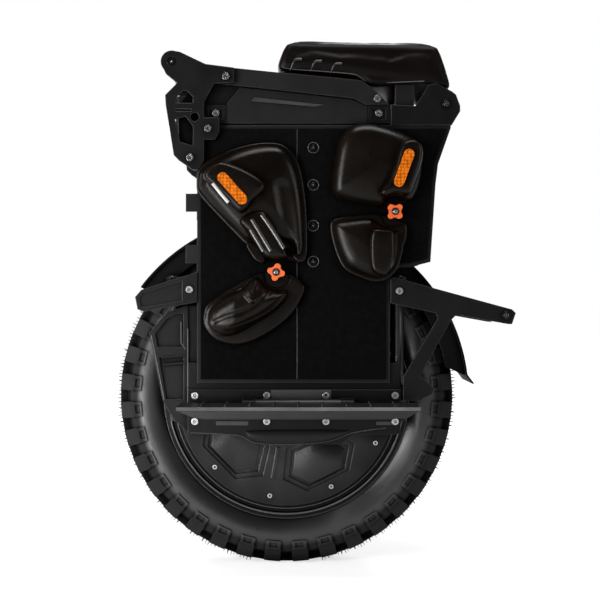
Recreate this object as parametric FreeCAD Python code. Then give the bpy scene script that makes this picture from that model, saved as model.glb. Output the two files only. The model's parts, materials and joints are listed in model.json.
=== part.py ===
import FreeCAD
import Part
import math
import os

# Electric unicycle with a sprung wheel, folding pedals, leg pads and a seat.
# Millimetres. X runs to the rear, Z up, the left side is at negative Y.
# The origin is on the floor under the axle.

# Fits and cuts
overrun = 2.0
running_gap = 0.05
slip_gap = 0.3
seat_gap = 0.1

# Tyre
tyre_section = 70.0
tyre_half_width = 43.0
tyre_wall = 8.0
tread_depth = 11.0
bulge_share = 0.49
shoulder_half_width = 38.0
shoulder_drop = 7.0
crown_half_width = 22.0
bead_width = 11.0
block_count = 36
shoulder_block_length = 25.0
shoulder_block_width = 19.0
shoulder_block_drop = 2.0
shoulder_bevel = 9.0
side_knob_length = 23.0
side_knob_reach = 13.0
side_knob_drop = 22.0
side_knob_root = 12.0
block_overhang = 2.0
block_recess = 2.0
block_recess_share = 0.56
centre_block_length = 24.0
centre_block_width = 17.0
centre_groove = 4.0
block_root = 6.0

# Rim and motor
rim_radius = 190.0
rim_half_width = 44.0
rim_lip = 4.0
rim_step = 3.0
rim_groove = 2.5
bead_drop = 13.0
bead_edge = 34.0
well_drop = 6.0
well_half_width = 18.0
rim_wall = 11.0
cover_lap = 8.0
cover_wall = 8.0
cover_web = 9.0
cover_spigot = 5.0
hub_boss = 6.0
hub_boss_radius = 62.0
hub_radius = 44.0
bearing_radius = 31.0
bearing_width = 16.0
bearing_lip = 2.0
seal_radius = 20.0
pocket_count = 5
pocket_depth = 2.8
pocket_foot_share = 0.476
pocket_knee_share = 0.762
pocket_top_share = 0.893
pocket_foot_angle = 27.0
pocket_knee_angle = 29.0
pocket_top_angle = 14.0
pocket_inner_share = 0.84
pocket_dome_share = 0.72
pocket_dome_radius = 210.0
pocket_dome_sink = 0.8
pocket_turn_angle = -134.5
spoke_rib_width = 5.0
spoke_rib_height = 1.2
cover_screw_count = 10
cover_screw_inset = 5.0
cover_screw_radius = 3.6
cover_screw_head = 2.0
cover_screw_turn_angle = -98.5
magnet_wall = 7.0
magnet_half_width = 28.0
air_gap = 1.2
stator_half_width = 26.0
stator_rim = 34.0
stator_web = 7.0
stator_hub = 32.0
stator_slot_count = 24
slot_depth = 18.0
slot_width = 8.0
valve_radius = 4.0
valve_turn_angle = 104.0

# Axle, carrier plates and guides
axle_radius = 15.0
axle_stub_radius = 11.0
carrier_gap = 2.0
carrier_wall = 14.0
carrier_hub = 34.0
carrier_depth = 40.0
carrier_waist = 26.0
nut_height = 8.0
nut_across = 30.0
axle_tip = 2.0
travel = 80.0
guide_x = 170.0
guide_radius = 10.0
guide_boss_radius = 14.0
guide_foot_drop = 33.0
guide_top_drop = 5.0
guide_lug_height = 14.0
guide_web_reach = 58.0
guide_web_lap = 20.0
guide_clamp_height = 32.0
guide_tip = 2.0
strut_depth = 78.0
strut_eye_height = 9.0
strut_radius = 13.0
strut_wall = 2.5
strut_shaft_radius = 6.0
strut_start_rise = 140.0
strut_cap = 8.0
strut_head = 12.0
piston_height = 12.0

# Mudguards, which ride with the axle
guard_gap = 18.0
guard_wall = 3.0
guard_side_gap = 15.0
guard_skirt = 28.0
guard_skirt_inset = 5.6
guard_skirt_angle = 4.0
rear_guard_start_angle = 7.0
rear_guard_end_angle = 86.0
front_guard_start_angle = 94.0
front_guard_end_angle = 143.0
guard_stay_x = 96.0
guard_stay_width = 30.0
guard_stay_wall = 3.0
guard_flick = 9.0
guard_flick_angle = 3.0

# Side panels and frame tray
hanger_gap = 3.0
hanger_wall = 6.0
panel_wall = 4.0
sheet_wall = 3.0
sheet_margin = 6.0
seam_x = 16.5
seam_width = 1.8
panel_front_x = -134.0
panel_rear_x = 248.0
panel_bottom_rise = 24.0
panel_outline_shares = [
    (0.0, 0.0), (0.76, 0.0), (0.76, 0.45), (0.84, 0.45), (0.92, 0.47), (0.94, 0.77),
    (0.95, 0.85), (1.0, 0.99), (1.0, 1.0), (0.0, 1.0),
]
panel_clip_length = 17.0
panel_clip_height = 27.0
panel_clip_gap = 13.5
panel_clip_pitch = 77.6
panel_clip_count = 2
panel_bolt_x = 41.0
panel_bolt_shares = [0.466, 0.61, 0.768, 0.912]
panel_bolt_radius = 8.7
panel_bolt_head = 2.0
panel_bolt_button = 5.5
panel_bolt_shank = 3.0
deck_gap = 13.0
deck_wall = 6.0
deck_depth = 38.0
deck_front_x = -128.0
deck_rear_x = 206.0
tray_wall = 4.0
front_wall_rise = 34.0
rear_wall_rise = 84.0

# What the body holds
battery_inner = 62.5
battery_front_x = -124.0
battery_rear_x = 136.0
battery_middle = 24.0
battery_bottom_rise = 134.0
battery_edge = 5.0
controller_front_x = -95.0
controller_rear_x = 150.0
controller_half_width = 80.0
controller_height = 40.0
controller_fin_count = 9
controller_fin_height = 12.0
controller_fin_wall = 4.0

# Top of the body, with heights above the top of the side panels
cover_line_front = 80.0
cover_line_bend = 57.0
cover_line_knee = 41.0
cover_line_rear = 26.0
cover_front_x = -118.0
cover_bend_x = 113.0
cover_knee_x = 130.0
cover_rear_x = 146.0
cover_sheet = 6.0
charge_x = -100.0
charge_depth_share = 0.6
charge_radius = 8.0
charge_collar = 13.0
charge_collar_height = 6.0
display_x = -62.0
display_length = 44.0
display_half_width = 32.0
display_height = 3.0
display_sink = 2.0
button_x = -26.0
button_radius = 9.0
button_height = 7.0
button_travel = 2.0
rail_front_x = -120.0
rail_length = 275.0
rail_bottom = 31.0
rail_height = 59.0
rail_wall = 8.0
rail_outline_shares = [
    (0.0, 1.0), (0.4, 0.81), (0.85, 0.61), (0.93, 0.32), (1.0, 0.0), (0.87, 0.0),
    (0.81, 0.15), (0.51, 0.31), (0.15, 0.49), (0.04, 0.54),
]
rail_screw_shares = [(0.935, 0.14)]
upper_cover_front_x = -88.0
upper_cover_length = 210.0
upper_cover_bottom = 3.0
upper_cover_height = 55.5
upper_cover_wall = 4.0
upper_cover_shares = [
    (0.09, 0.97), (0.0, 0.56), (0.0, 0.0), (1.0, 0.0), (1.0, 0.48), (0.91, 0.63), (0.52, 0.8),
]
strip_shares = [(0.17, 0.6), (0.19, 0.7), (0.69, 0.5), (0.63, 0.45)]
strip_height = 1.6
corner_plate_length = 33.0
corner_plate_height = 27.5
corner_plate_wall = 5.0
corner_plate_gap = 1.0
corner_plate_recess = 1.5
corner_plate_frame = 6.0
corner_plate_screw_shares = [(0.5, 0.55)]

# Front bracket, handle and headlight
bracket_front_x = -187.5
bracket_length = 109.5
bracket_drop = 72.0
bracket_height = 182.5
bracket_wall = 7.0
bracket_outline_shares = [
    (0.15, 1.0), (0.26, 0.99), (0.61, 0.89), (1.0, 0.86), (1.0, 0.74), (0.73, 0.73), (0.59, 0.58),
    (0.59, 0.45), (0.8, 0.45), (0.8, 0.33), (0.74, 0.27), (0.59, 0.27), (0.59, 0.1), (0.51, 0.02),
    (0.44, 0.02), (0.245, 0.1), (0.178, 0.142), (0.068, 0.553), (0.06, 0.635), (0.224, 0.734),
    (0.068, 0.811), (0.0, 0.9),
]
bracket_window_shares = [(0.19, 0.44), (0.34, 0.46), (0.44, 0.38), (0.44, 0.22), (0.26, 0.25)]
bracket_slot_shares = [(0.205, 0.57), (0.225, 0.63), (0.31, 0.67), (0.36, 0.67), (0.44, 0.62), (0.44, 0.57)]
bracket_hole_share = (0.465, 0.455)
bracket_hole_radius = 6.5
bracket_eye_share = (0.15, 0.91)
bracket_eye_radius = 16.5
bracket_eye_recess_share = 0.38
bracket_groove_shares = [(0.2, 0.5), (0.42, 0.5), (0.42, 0.522), (0.2, 0.522)]
bracket_groove_depth = 1.5
bracket_screw_shares = [(0.89, 0.787), (0.4, 0.12), (0.645, 0.36)]
bar_radius = 11.0
lamp_depth = 38.0
lamp_half_width = 62.0
lamp_bottom = -16.0
lamp_height = 66.0
lamp_edge = 8.0
lens_depth = 13.0
lens_margin = 5.0

# Rear bracket and tail light
rear_bracket_front_x = 158.0
rear_bracket_length = 104.0
rear_bracket_height = 62.5
rear_bracket_wall = 6.0
rear_bracket_shares = [
    (0.0, 0.49), (0.35, 0.46), (0.55, 0.97), (0.66, 1.0), (0.88, 0.81), (0.94, 0.73), (1.0, 0.46),
    (1.0, 0.33), (0.88, 0.0), (0.0, 0.0),
]
rear_bar_share = (0.8, 0.51)
rear_bar_radius = 9.0
tail_light_half_width = 45.0
tail_light_height = 22.0
tail_light_depth = 8.0

# Seat
seat_front_x = -9.0
seat_length = 259.0
seat_bottom = 55.0
seat_height = 76.0
seat_inset = 1.3
seat_side_shares = [
    (0.02, 0.88), (0.04, 0.95), (0.09, 1.0), (0.88, 0.95), (0.92, 0.91), (0.94, 0.84), (1.0, 0.0),
    (0.91, 0.13), (0.87, 0.12), (0.83, 0.0), (0.7, 0.0), (0.53, 0.04), (0.5, 0.13), (0.45, 0.23),
    (0.35, 0.27), (0.06, 0.37), (0.0, 0.37),
]
seat_crown_shares = [
    (0.0, 1.0), (0.45, 0.985), (0.7, 0.95), (0.86, 0.87), (0.96, 0.72), (1.0, 0.5), (0.98, 0.25),
    (0.95, 0.0),
]
seat_base_half_width = 84.0
seat_base_wall = 8.0
seat_base_front = 10.0
seat_base_rear = 12.0
seat_block_x = 165.0
seat_block_length = 28.0

# Front bumper arms, leg covers and rear stands
bumper_front_x = -227.0
bumper_lap = 8.5
bumper_height = 59.5
bumper_wall = 7.0
bumper_outline_shares = [(1.0, 1.0), (0.1, 0.55), (0.0, 0.37), (0.04, 0.06), (0.14, 0.0), (1.0, 0.24)]
bumper_face_shares = [(0.76, 0.78), (0.12, 0.46), (0.07, 0.34), (0.09, 0.14), (0.15, 0.11), (0.76, 0.28)]
bumper_face_depth = 2.0
bumper_screw_shares = [(0.88, 0.56)]
bumper_lug = 6.0
leg_front_x = -207.0
leg_length = 74.0
leg_drop = 53.0
leg_height = 193.0
leg_gap = 0.5
leg_wall = 3.0
leg_rib = 4.0
leg_outline_shares = [
    (0.36, 0.95), (0.0, 0.79), (0.22, 0.37), (0.28, 0.26), (0.5, 0.11), (0.82, 0.0), (0.91, 0.0),
    (1.0, 0.12), (1.0, 1.0), (0.74, 1.0),
]
leg_upper_pocket_shares = [(0.36, 0.9), (0.12, 0.78), (0.17, 0.68), (0.7, 0.68), (0.7, 0.94), (0.56, 0.94)]
leg_lower_pocket_shares = [(0.2, 0.6), (0.34, 0.27), (0.7, 0.27), (0.7, 0.62)]
stand_rear_x = 345.5
stand_top_drop = 3.0
stand_wall = 7.0
stand_front_gap = 1.0
stand_foot_drop = 2.0
stand_outline_shares = [
    (0.0, 0.99), (0.03, 1.0), (0.97, 0.74), (1.0, 0.71), (0.97, 0.62), (0.94, 0.62), (0.56, 0.69),
    (0.52, 0.69), (0.48, 0.65), (0.235, 0.2), (0.32, 0.125), (0.345, 0.1), (0.33, 0.05), (0.22, 0.0),
    (0.1, 0.0), (0.1, 0.19),
    (0.38, 0.67), (0.36, 0.71), (0.0, 0.79),
]
stand_screw_shares = [(0.07, 0.89)]
stand_bar_share = (0.918, 0.69)
stand_bar_radius = 8.0

# Pedal hangers and pedals
hanger_front_x = -148.0
hanger_rear_x = 172.0
hanger_tail_x = 205.0
hanger_top_rise = 14.0
hanger_drop = 53.0
hanger_face = 6.0
hanger_overlap = 30.0
hanger_tail_share = 0.1
hanger_screw_shares = [0.034, 0.372, 0.65, 0.975]
hanger_upper_screw = 5.5
hanger_lower_screw = -33.5
hinge_block_x = -65.0
hinge_block_length = 167.0
hinge_block_drop = 68.0
hinge_lug_length = 20.0
hinge_drop = 8.0
hinge_depth = 10.0
hinge_radius = 5.0
hinge_eye = 9.0
middle_plate_x = -19.0
middle_plate_length = 72.0
middle_plate_wall = 1.5
pedal_front_x = -156.0
pedal_length = 349.0
pedal_width = 88.0
pedal_root = 10.0
pedal_rise = 4.0
pedal_height = 17.0
pedal_skin = 5.0
pedal_bevel = 5.0
pedal_rim = 6.0
pedal_side_shares = [
    (0.0, 1.0), (1.0, 1.0), (1.0, 0.7), (0.92, 0.12), (0.88, 0.0), (0.12, 0.0), (0.08, 0.12), (0.0, 0.7),
]
pedal_bay_count = 6
pedal_heel = 9.0
stud_radius = 1.8
stud_height = 3.0
stud_row_count = 3
stud_column_count = 9

# Leg pads, star knobs and reflectors, with outlines in shares of each pad's own box
pad_gap = 0.5
front_upper_knob_share = (0.7203, -0.0869)
front_lower_knob_share = (0.7208, 1.0231)
rear_upper_knob_share = (0.6893, -0.0683)
rear_lower_knob_share = (0.8385, 1.0242)
front_upper_length = 166.0
front_upper_height = 179.0
front_upper_depth = 26.0
front_upper_shares = [
    (0.0, 0.67), (0.006, 0.749), (0.06, 0.821), (0.187, 0.888), (0.325, 0.944), (0.476, 0.983),
    (0.627, 1.0), (0.753, 0.989), (0.849, 0.933), (0.916, 0.838), (0.958, 0.698), (0.988, 0.492),
    (1.0, 0.291), (1.0, 0.084), (0.964, 0.0), (0.892, 0.011), (0.831, 0.101), (0.735, 0.145),
    (0.639, 0.112), (0.53, 0.101), (0.434, 0.156), (0.355, 0.229), (0.199, 0.38), (0.06, 0.52),
    (0.006, 0.592),
]
front_lower_length = 152.0
front_lower_height = 106.0
front_lower_depth = 34.0
front_lower_shares = [
    (0.0, 0.425), (0.026, 0.547), (0.099, 0.642), (0.224, 0.736), (0.355, 0.811), (0.447, 0.934),
    (0.526, 1.0), (0.618, 0.981), (0.724, 0.906), (0.836, 0.962), (0.928, 0.934), (0.987, 0.849),
    (1.0, 0.774), (0.934, 0.566), (0.829, 0.368), (0.678, 0.198), (0.5, 0.057), (0.349, 0.0),
    (0.197, 0.028), (0.086, 0.113), (0.007, 0.274),
]
rear_upper_length = 137.0
rear_upper_height = 125.0
rear_upper_depth = 30.0
rear_upper_shares = [
    (0.0, 0.232), (0.015, 0.432), (0.058, 0.72), (0.124, 0.864), (0.241, 0.976), (0.401, 1.0),
    (0.555, 0.968), (0.715, 0.912), (0.847, 0.848), (0.964, 0.768), (1.0, 0.68), (1.0, 0.536),
    (0.971, 0.304), (0.905, 0.112), (0.832, 0.056), (0.73, 0.08), (0.642, 0.072), (0.569, 0.016),
    (0.504, 0.0), (0.27, 0.04), (0.109, 0.088), (0.029, 0.136),
]
rear_lower_length = 115.0
rear_lower_height = 102.0
rear_lower_depth = 32.0
rear_lower_shares = [
    (0.0, 0.833), (0.052, 0.922), (0.261, 0.971), (0.557, 1.0), (0.696, 0.961), (0.861, 0.922),
    (0.991, 0.853), (1.0, 0.657), (0.957, 0.529), (0.948, 0.431), (0.87, 0.176), (0.739, 0.039),
    (0.583, 0.0), (0.4, 0.059), (0.209, 0.167), (0.104, 0.343), (0.026, 0.618),
]
pad_top_share = 0.84
pad_waist_share = 0.62
front_knob_share = (0.313, 0.429)
rear_knob_share = (0.776, 0.661)
knob_radius = 15.5
knob_lobe_radius = 5.5
knob_core_radius = 10.5
knob_lobe_count = 4
front_knob_angle = -14.0
rear_knob_angle = 45.0
knob_height = 14.0
knob_foot = 3.0
knob_stud_radius = 4.0
tongue_radius = 16.0
tongue_wall = 7.0
frame_depth = 16.0
arm_depth = 7.0
front_frame_shares = [
    (0.072, 0.693), (0.108, 0.771), (0.193, 0.816), (0.265, 0.821), (0.44, 0.76), (0.59, 0.676),
    (0.633, 0.62), (0.608, 0.57), (0.524, 0.503), (0.458, 0.425), (0.392, 0.402), (0.277, 0.503),
    (0.145, 0.62),
]
front_arm_shares = [
    (0.392, 0.358), (0.41, 0.447), (0.518, 0.559), (0.602, 0.458), (0.687, 0.341), (0.795, 0.128),
    (0.825, 0.05), (0.759, 0.034), (0.645, 0.039), (0.578, 0.089), (0.482, 0.229),
]
rear_frame_shares = [
    (0.752, 0.704), (0.81, 0.768), (0.891, 0.776), (0.964, 0.72), (0.985, 0.616), (0.964, 0.472),
    (0.905, 0.296), (0.854, 0.152), (0.788, 0.12), (0.672, 0.136), (0.569, 0.104), (0.518, 0.128),
    (0.54, 0.2), (0.628, 0.288), (0.693, 0.456),
]
reflector_length = 48.0
reflector_width = 14.0
reflector_wall = 2.5
front_reflector_share = (0.352, 0.592)
front_reflector_angle = 48.0
rear_reflector_share = (0.806, 0.487)
rear_reflector_angle = 108.0

# Silver socket screws
screw_radius = 5.2
screw_height = 3.6
screw_shank = 2.5
screw_shank_length = 3.0
screw_socket_share = 0.52
screw_socket_depth = 2.0

# Places that follow from the sizes above
wheel_radius = rim_radius + tyre_section
crown_radius = wheel_radius - tread_depth
bulge_radius = rim_radius + (crown_radius - rim_radius) * bulge_share
bead_radius = rim_radius - bead_drop
well_radius = bead_radius - well_drop
motor_bore = well_radius - rim_wall
cover_radius = motor_bore + cover_lap
cover_screw_circle = motor_bore - cover_screw_inset
pocket_foot = cover_radius * pocket_foot_share
pocket_knee = cover_radius * pocket_knee_share
pocket_top = cover_radius * pocket_top_share
axle_z = wheel_radius
cover_face = rim_half_width + cover_wall
boss_face = cover_face + hub_boss
carrier_inner = boss_face + carrier_gap
carrier_outer = carrier_inner + carrier_wall
axle_end = carrier_outer + nut_height + axle_tip
hanger_inner = axle_end + hanger_gap + slip_gap
panel_inner = hanger_inner + hanger_wall
panel_outer = panel_inner + panel_wall
sheet_outer = panel_outer + sheet_wall
guide_depth = (carrier_inner + carrier_outer) / 2
guard_radius = wheel_radius + guard_gap
guard_outer = guard_radius + guard_wall
guard_half_width = tyre_half_width + guard_side_gap
deck_z = axle_z + guard_outer + travel + deck_gap
panel_top = deck_z + deck_depth
panel_bottom = axle_z + panel_bottom_rise
panel_length = panel_rear_x - panel_front_x
panel_height = panel_top - panel_bottom
panel_step_x = panel_front_x + panel_length * panel_outline_shares[1][0]
tray_inner = panel_inner - tray_wall
rail_outer = panel_inner + rail_wall
seat_half_width = rail_outer - seat_inset
hanger_outer = panel_inner + hanger_face
hinge_y = hanger_outer + hinge_depth
hinge_z = axle_z - hinge_drop
pedal_top = hinge_z + pedal_rise
pedal_outer = hinge_y + pedal_width
bracket_outer = rail_outer + bracket_wall
pad_inner = sheet_outer + pad_gap
bumper_bottom = axle_z - leg_drop + leg_height - bumper_lap
bumper_top = bumper_bottom + bumper_height
guide_top = bumper_top - guide_top_drop
stand_bottom = axle_z - stand_foot_drop
stand_height = guide_top - stand_top_drop - stand_bottom
guide_foot = axle_z - guide_foot_drop
strut_start = axle_z + strut_start_rise
strut_bore_top = deck_z - strut_head
piston_top = strut_bore_top - piston_height - travel

V = FreeCAD.Vector


def placed(shares, left, bottom, length, height):
    """Points of an outline given in shares of its box."""
    return [(left + length * a, bottom + height * b) for a, b in shares]


def prism(points, inner, outer):
    """A plate on the left side with an outline in X and Z, between two distances from the middle."""
    loop = [V(x, -inner, z) for x, z in points]
    return Part.Face(Part.makePolygon(loop + loop[:1])).extrude(V(0, inner - outer, 0))


def block(x0, x1, inner, outer, z0, z1):
    return Part.makeBox(x1 - x0, outer - inner, z1 - z0, V(x0, -outer, z0))


def across(x0, x1, half_width, z0, z1):
    """A block that runs across the middle plane."""
    return block(x0, x1, -half_width, half_width, z0, z1)


def rod(x, z, radius, inner, outer):
    return Part.makeCylinder(radius, outer - inner, V(x, -inner, z), V(0, -1, 0))


def post(x, depth, radius, z0, z1):
    return Part.makeCylinder(radius, z1 - z0, V(x, -depth, z0))


def mirrored(shape):
    return shape.mirror(V(0, 0, 0), V(0, 1, 0))


def pair(shape):
    return Part.makeCompound([shape, mirrored(shape)])


def joined(shapes):
    return shapes[0].fuse(shapes[1:]).removeSplitter()


def about_axle(shape, angle):
    """Turned about the axle, from pointing up towards the rear."""
    turned = shape.copy()
    turned.rotate(V(0, 0, axle_z), V(0, 1, 0), angle)
    return turned


def ring(points):
    """A ring about the axle from a closed section of (distance from the middle, radius)."""
    loop = [V(0, y, axle_z + r) for y, r in points]
    return Part.Face(Part.makePolygon(loop + loop[:1])).revolve(V(0, 0, axle_z), V(0, 1, 0), 360)


def both_halves(points):
    """A section completed by its own reflection in the middle plane."""
    return points + [(-y, r) for y, r in reversed(points)]


def arched_ring(foot, knee, bulge, shoulder, crown):
    """A ring with bulging side walls, from its section on one side of the middle plane."""
    def at(point, side):
        return V(0, side * point[0], axle_z + point[1])

    edges = []
    for side in (1, -1):
        edges.append(Part.makeLine(at(foot, side), at(knee, side)))
        edges.append(Part.Arc(at(knee, side), at(bulge, side), at(shoulder, side)).toShape())
        edges.append(Part.makeLine(at(shoulder, side), at(crown, side)))
    edges.append(Part.makeLine(at(crown, 1), at(crown, -1)))
    edges.append(Part.makeLine(at(foot, 1), at(foot, -1)))
    wire = Part.Wire(Part.__sortEdges__(edges))
    return Part.Face(wire).revolve(V(0, 0, axle_z), V(0, 1, 0), 360)


def tread_block(length, y0, y1, r0, r1):
    return Part.makeBox(length, y1 - y0, r1 - r0, V(-length / 2, y0, axle_z + r0))


def shoulder_block():
    """A tread block with a sloping outer face, over a side knob with a recess."""
    outer = tyre_half_width + block_overhang
    inner = outer - shoulder_block_width
    top = wheel_radius - shoulder_block_drop
    knob_top = wheel_radius - side_knob_drop
    knob_foot = knob_top - side_knob_reach
    section = [(inner, crown_radius - block_root), (inner, top), (outer - shoulder_bevel, top),
               (tyre_half_width, knob_top), (outer - side_knob_root, knob_foot)]
    loop = [V(-shoulder_block_length / 2, y, axle_z + r) for y, r in section]
    slab = Part.Face(Part.makePolygon(loop + loop[:1])).extrude(V(shoulder_block_length, 0, 0))
    knob = tread_block(side_knob_length, outer - side_knob_root, outer, knob_foot, knob_top)
    margin = side_knob_reach * (1 - block_recess_share) / 2
    recess = tread_block(side_knob_length * block_recess_share, outer - block_recess, outer + overrun,
                         knob_foot + margin, knob_top - margin)
    return slab.fuse(knob).cut(recess)


def make_tyre():
    crown = crown_radius
    bead = bead_edge - seat_gap
    body = arched_ring((bead, bead_radius + seat_gap), (bead, rim_radius), (tyre_half_width, bulge_radius),
                       (shoulder_half_width, crown - shoulder_drop), (crown_half_width, crown))
    inside = bead - bead_width
    cavity = arched_ring((inside, bead_radius - overrun), (inside, rim_radius),
                         (tyre_half_width - tyre_wall, bulge_radius),
                         (shoulder_half_width - tyre_wall, crown - shoulder_drop - tyre_wall),
                         (crown_half_width, crown - tyre_wall))
    pitch = 360 / block_count
    inner = centre_groove
    centre = tread_block(centre_block_length, inner, inner + centre_block_width, crown - block_root,
                         wheel_radius)
    blocks = []
    for side in (centre, mirrored(centre)):
        blocks += [about_axle(side, pitch * i) for i in range(block_count)]
    for side in (shoulder_block(), mirrored(shoulder_block())):
        blocks += [about_axle(side, pitch * (i + 0.5)) for i in range(block_count)]
    return body.fuse(blocks).cut(cavity)


def make_rim():
    lip = bead_edge + rim_lip
    step = cover_radius + rim_lip
    face = rim_half_width - rim_step
    half = [
        (0, motor_bore), (rim_half_width, motor_bore), (rim_half_width, step),
        (face, step + rim_step), (face - rim_groove, step + rim_step + rim_groove / 2),
        (face - rim_groove, step + rim_step + rim_groove * 2), (face, step + rim_step + rim_groove * 2.5),
        (face, rim_radius - rim_lip - rim_step), (lip, rim_radius - rim_lip),
        (lip, rim_radius), (bead_edge, rim_radius), (bead_edge, bead_radius),
        (well_half_width + rim_lip, bead_radius), (well_half_width, well_radius), (0, well_radius),
    ]
    shell = ring(half)
    hole = about_axle(valve_hole(valve_radius + slip_gap), valve_turn_angle)
    return joined([shell, mirrored(shell)]).cut(hole)


def valve_hole(radius):
    return post(0, 0, radius, axle_z + motor_bore - overrun, axle_z + rim_radius)


def make_valve_stem():
    stem = post(0, 0, valve_radius, axle_z + motor_bore + magnet_wall, axle_z + bead_radius)
    flange = post(0, 0, valve_radius * 2, axle_z + well_radius, axle_z + well_radius + rim_step)
    return about_axle(joined([stem, flange]), valve_turn_angle)


def pocket_points(share):
    """A house-shaped pocket about the upward direction, drawn in towards its own middle by a share."""
    corners = [(pocket_foot, pocket_foot_angle), (pocket_knee, pocket_knee_angle),
               (pocket_top, pocket_top_angle)]
    corners += [(r, -angle) for r, angle in reversed(corners)]
    middle = (pocket_foot + pocket_top) / 2
    points = []
    for r, angle in corners:
        x = r * math.sin(math.radians(angle))
        z = r * math.cos(math.radians(angle))
        points.append((x * share, axle_z + middle + (z - middle) * share))
    return points


def pocket_dome():
    """The swelling on the floor of a pocket."""
    top = cover_face - pocket_dome_sink
    ball = Part.makeSphere(pocket_dome_radius,
                           V(0, pocket_dome_radius - top, axle_z + (pocket_foot + pocket_top) / 2))
    return prism(pocket_points(pocket_dome_share), cover_face - pocket_depth * 2.5, cover_face).common(ball)


def make_motor_cover():
    """The left motor cover."""
    web = cover_face - cover_web
    spigot = rim_half_width - cover_spigot
    bearing_back = boss_face - bearing_lip - bearing_width
    section = [
        (rim_half_width, cover_radius), (cover_face, cover_radius), (cover_face, hub_boss_radius),
        (boss_face, hub_boss_radius - hub_boss), (boss_face, seal_radius),
        (boss_face - bearing_lip, seal_radius), (boss_face - bearing_lip, bearing_radius),
        (bearing_back, bearing_radius), (bearing_back, hub_radius), (web, hub_radius + cover_web),
        (web, motor_bore - seat_gap - cover_web), (spigot, motor_bore - seat_gap - cover_web),
        (spigot, motor_bore - seat_gap), (rim_half_width, motor_bore - seat_gap),
    ]
    cover = ring([(-y, r) for y, r in section])
    pitch = 360 / pocket_count
    rib = block(-spoke_rib_width / 2, spoke_rib_width / 2, cover_face - spoke_rib_height,
                cover_face + spoke_rib_height, axle_z + pocket_foot, axle_z + pocket_knee)
    for i in range(pocket_count):
        floor = cover_face - pocket_depth
        outer = prism(pocket_points(1), floor, cover_face + overrun)
        inner = prism(pocket_points(pocket_inner_share), floor - pocket_depth, cover_face)
        cover = cover.cut(about_axle(outer.fuse(inner), pocket_turn_angle + pitch * i))
    for i in range(pocket_count):
        cover = cover.fuse(about_axle(pocket_dome(), pocket_turn_angle + pitch * i))
        cover = cover.fuse(about_axle(rib, pocket_turn_angle + pitch * (i + 0.5)))
    return cover


def make_cover_screws():
    screws = []
    for i in range(cover_screw_count):
        head = rod(0, axle_z + cover_screw_circle, cover_screw_radius, cover_face,
                   cover_face + cover_screw_head)
        screws.append(about_axle(head, cover_screw_turn_angle + i * 360 / cover_screw_count))
    return Part.makeCompound(screws + [mirrored(s) for s in screws])


def make_magnet_ring():
    outer = motor_bore - seat_gap
    return ring(both_halves([(magnet_half_width, outer - magnet_wall), (magnet_half_width, outer)]))


def make_wheel_bearing():
    outer = boss_face - bearing_lip
    bore = axle_radius + running_gap
    return ring([(-outer, bore), (-outer, bearing_radius - seat_gap),
                 (bearing_width - outer, bearing_radius - seat_gap), (bearing_width - outer, bore)])


def make_axle():
    shaft = Part.makeCylinder(axle_radius, 2 * boss_face, V(0, -boss_face, axle_z), V(0, 1, 0))
    stub = Part.makeCylinder(axle_stub_radius, 2 * axle_end, V(0, -axle_end, axle_z), V(0, 1, 0))
    return joined([shaft, stub])


def make_stator():
    outer = motor_bore - seat_gap - magnet_wall - air_gap
    bore = axle_radius + seat_gap
    section = both_halves([(stator_web, stator_hub), (stator_web, outer - stator_rim),
                           (stator_half_width, outer - stator_rim), (stator_half_width, outer)])
    core = ring(section).fuse(ring(both_halves([(stator_half_width, bore), (stator_half_width, stator_hub)])))
    slot = tread_block(slot_width, -stator_half_width - overrun, stator_half_width + overrun,
                       outer - slot_depth, outer + overrun)
    slots = [about_axle(slot, i * 360 / stator_slot_count) for i in range(stator_slot_count)]
    return core.removeSplitter().cut(slots)


def make_axle_carrier():
    """The left carrier plate: an axle boss with an arm to a bush on each guide tube."""
    half = carrier_depth / 2
    waist = carrier_waist / 2
    arm = [(-guide_x, half), (guide_x, half), (guide_x, -half), (carrier_hub, -waist), (-carrier_hub, -waist),
           (-guide_x, -half)]
    plate = prism([(x, axle_z + z) for x, z in arm], carrier_inner, carrier_outer)
    parts = [plate, rod(0, axle_z, carrier_hub, carrier_inner, carrier_outer)]
    for x in (-guide_x, guide_x):
        parts.append(post(x, guide_depth, guide_boss_radius, axle_z - half, axle_z + half))
    parts.append(strut_eye())
    plate = joined(parts)
    for x in (-guide_x, guide_x):
        plate = plate.cut(post(x, guide_depth, guide_radius + running_gap, axle_z - carrier_depth,
                               axle_z + carrier_depth))
    return plate.cut(rod(0, axle_z, axle_stub_radius + seat_gap, boss_face, axle_end))


def strut_eye():
    """The block on the carrier that the strut's shaft stands on."""
    top = axle_z + carrier_hub
    return block(-strut_radius, strut_radius, carrier_inner, strut_depth + strut_shaft_radius,
                 top - strut_eye_height, top)


def make_axle_nut():
    hexagon = [(nut_across / math.sqrt(3) * math.sin(math.radians(60 * i)),
                axle_z + nut_across / math.sqrt(3) * math.cos(math.radians(60 * i))) for i in range(6)]
    nut = prism(hexagon, carrier_outer, carrier_outer + nut_height)
    return nut.cut(rod(0, axle_z, axle_stub_radius + seat_gap, carrier_inner, axle_end + overrun))


def make_strut_shaft():
    foot = axle_z + carrier_hub
    shaft = post(0, strut_depth, strut_shaft_radius, foot, piston_top)
    piston = post(0, strut_depth, strut_radius - strut_wall - running_gap, piston_top - piston_height,
                  piston_top)
    return joined([shaft, piston])


def make_strut_body():
    bore = post(0, strut_depth, strut_radius - strut_wall, strut_start + strut_cap, strut_bore_top)
    neck = post(0, strut_depth, strut_shaft_radius + running_gap, strut_start - overrun, strut_bore_top)
    return post(0, strut_depth, strut_radius, strut_start, deck_z).cut(bore.fuse(neck))


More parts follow.
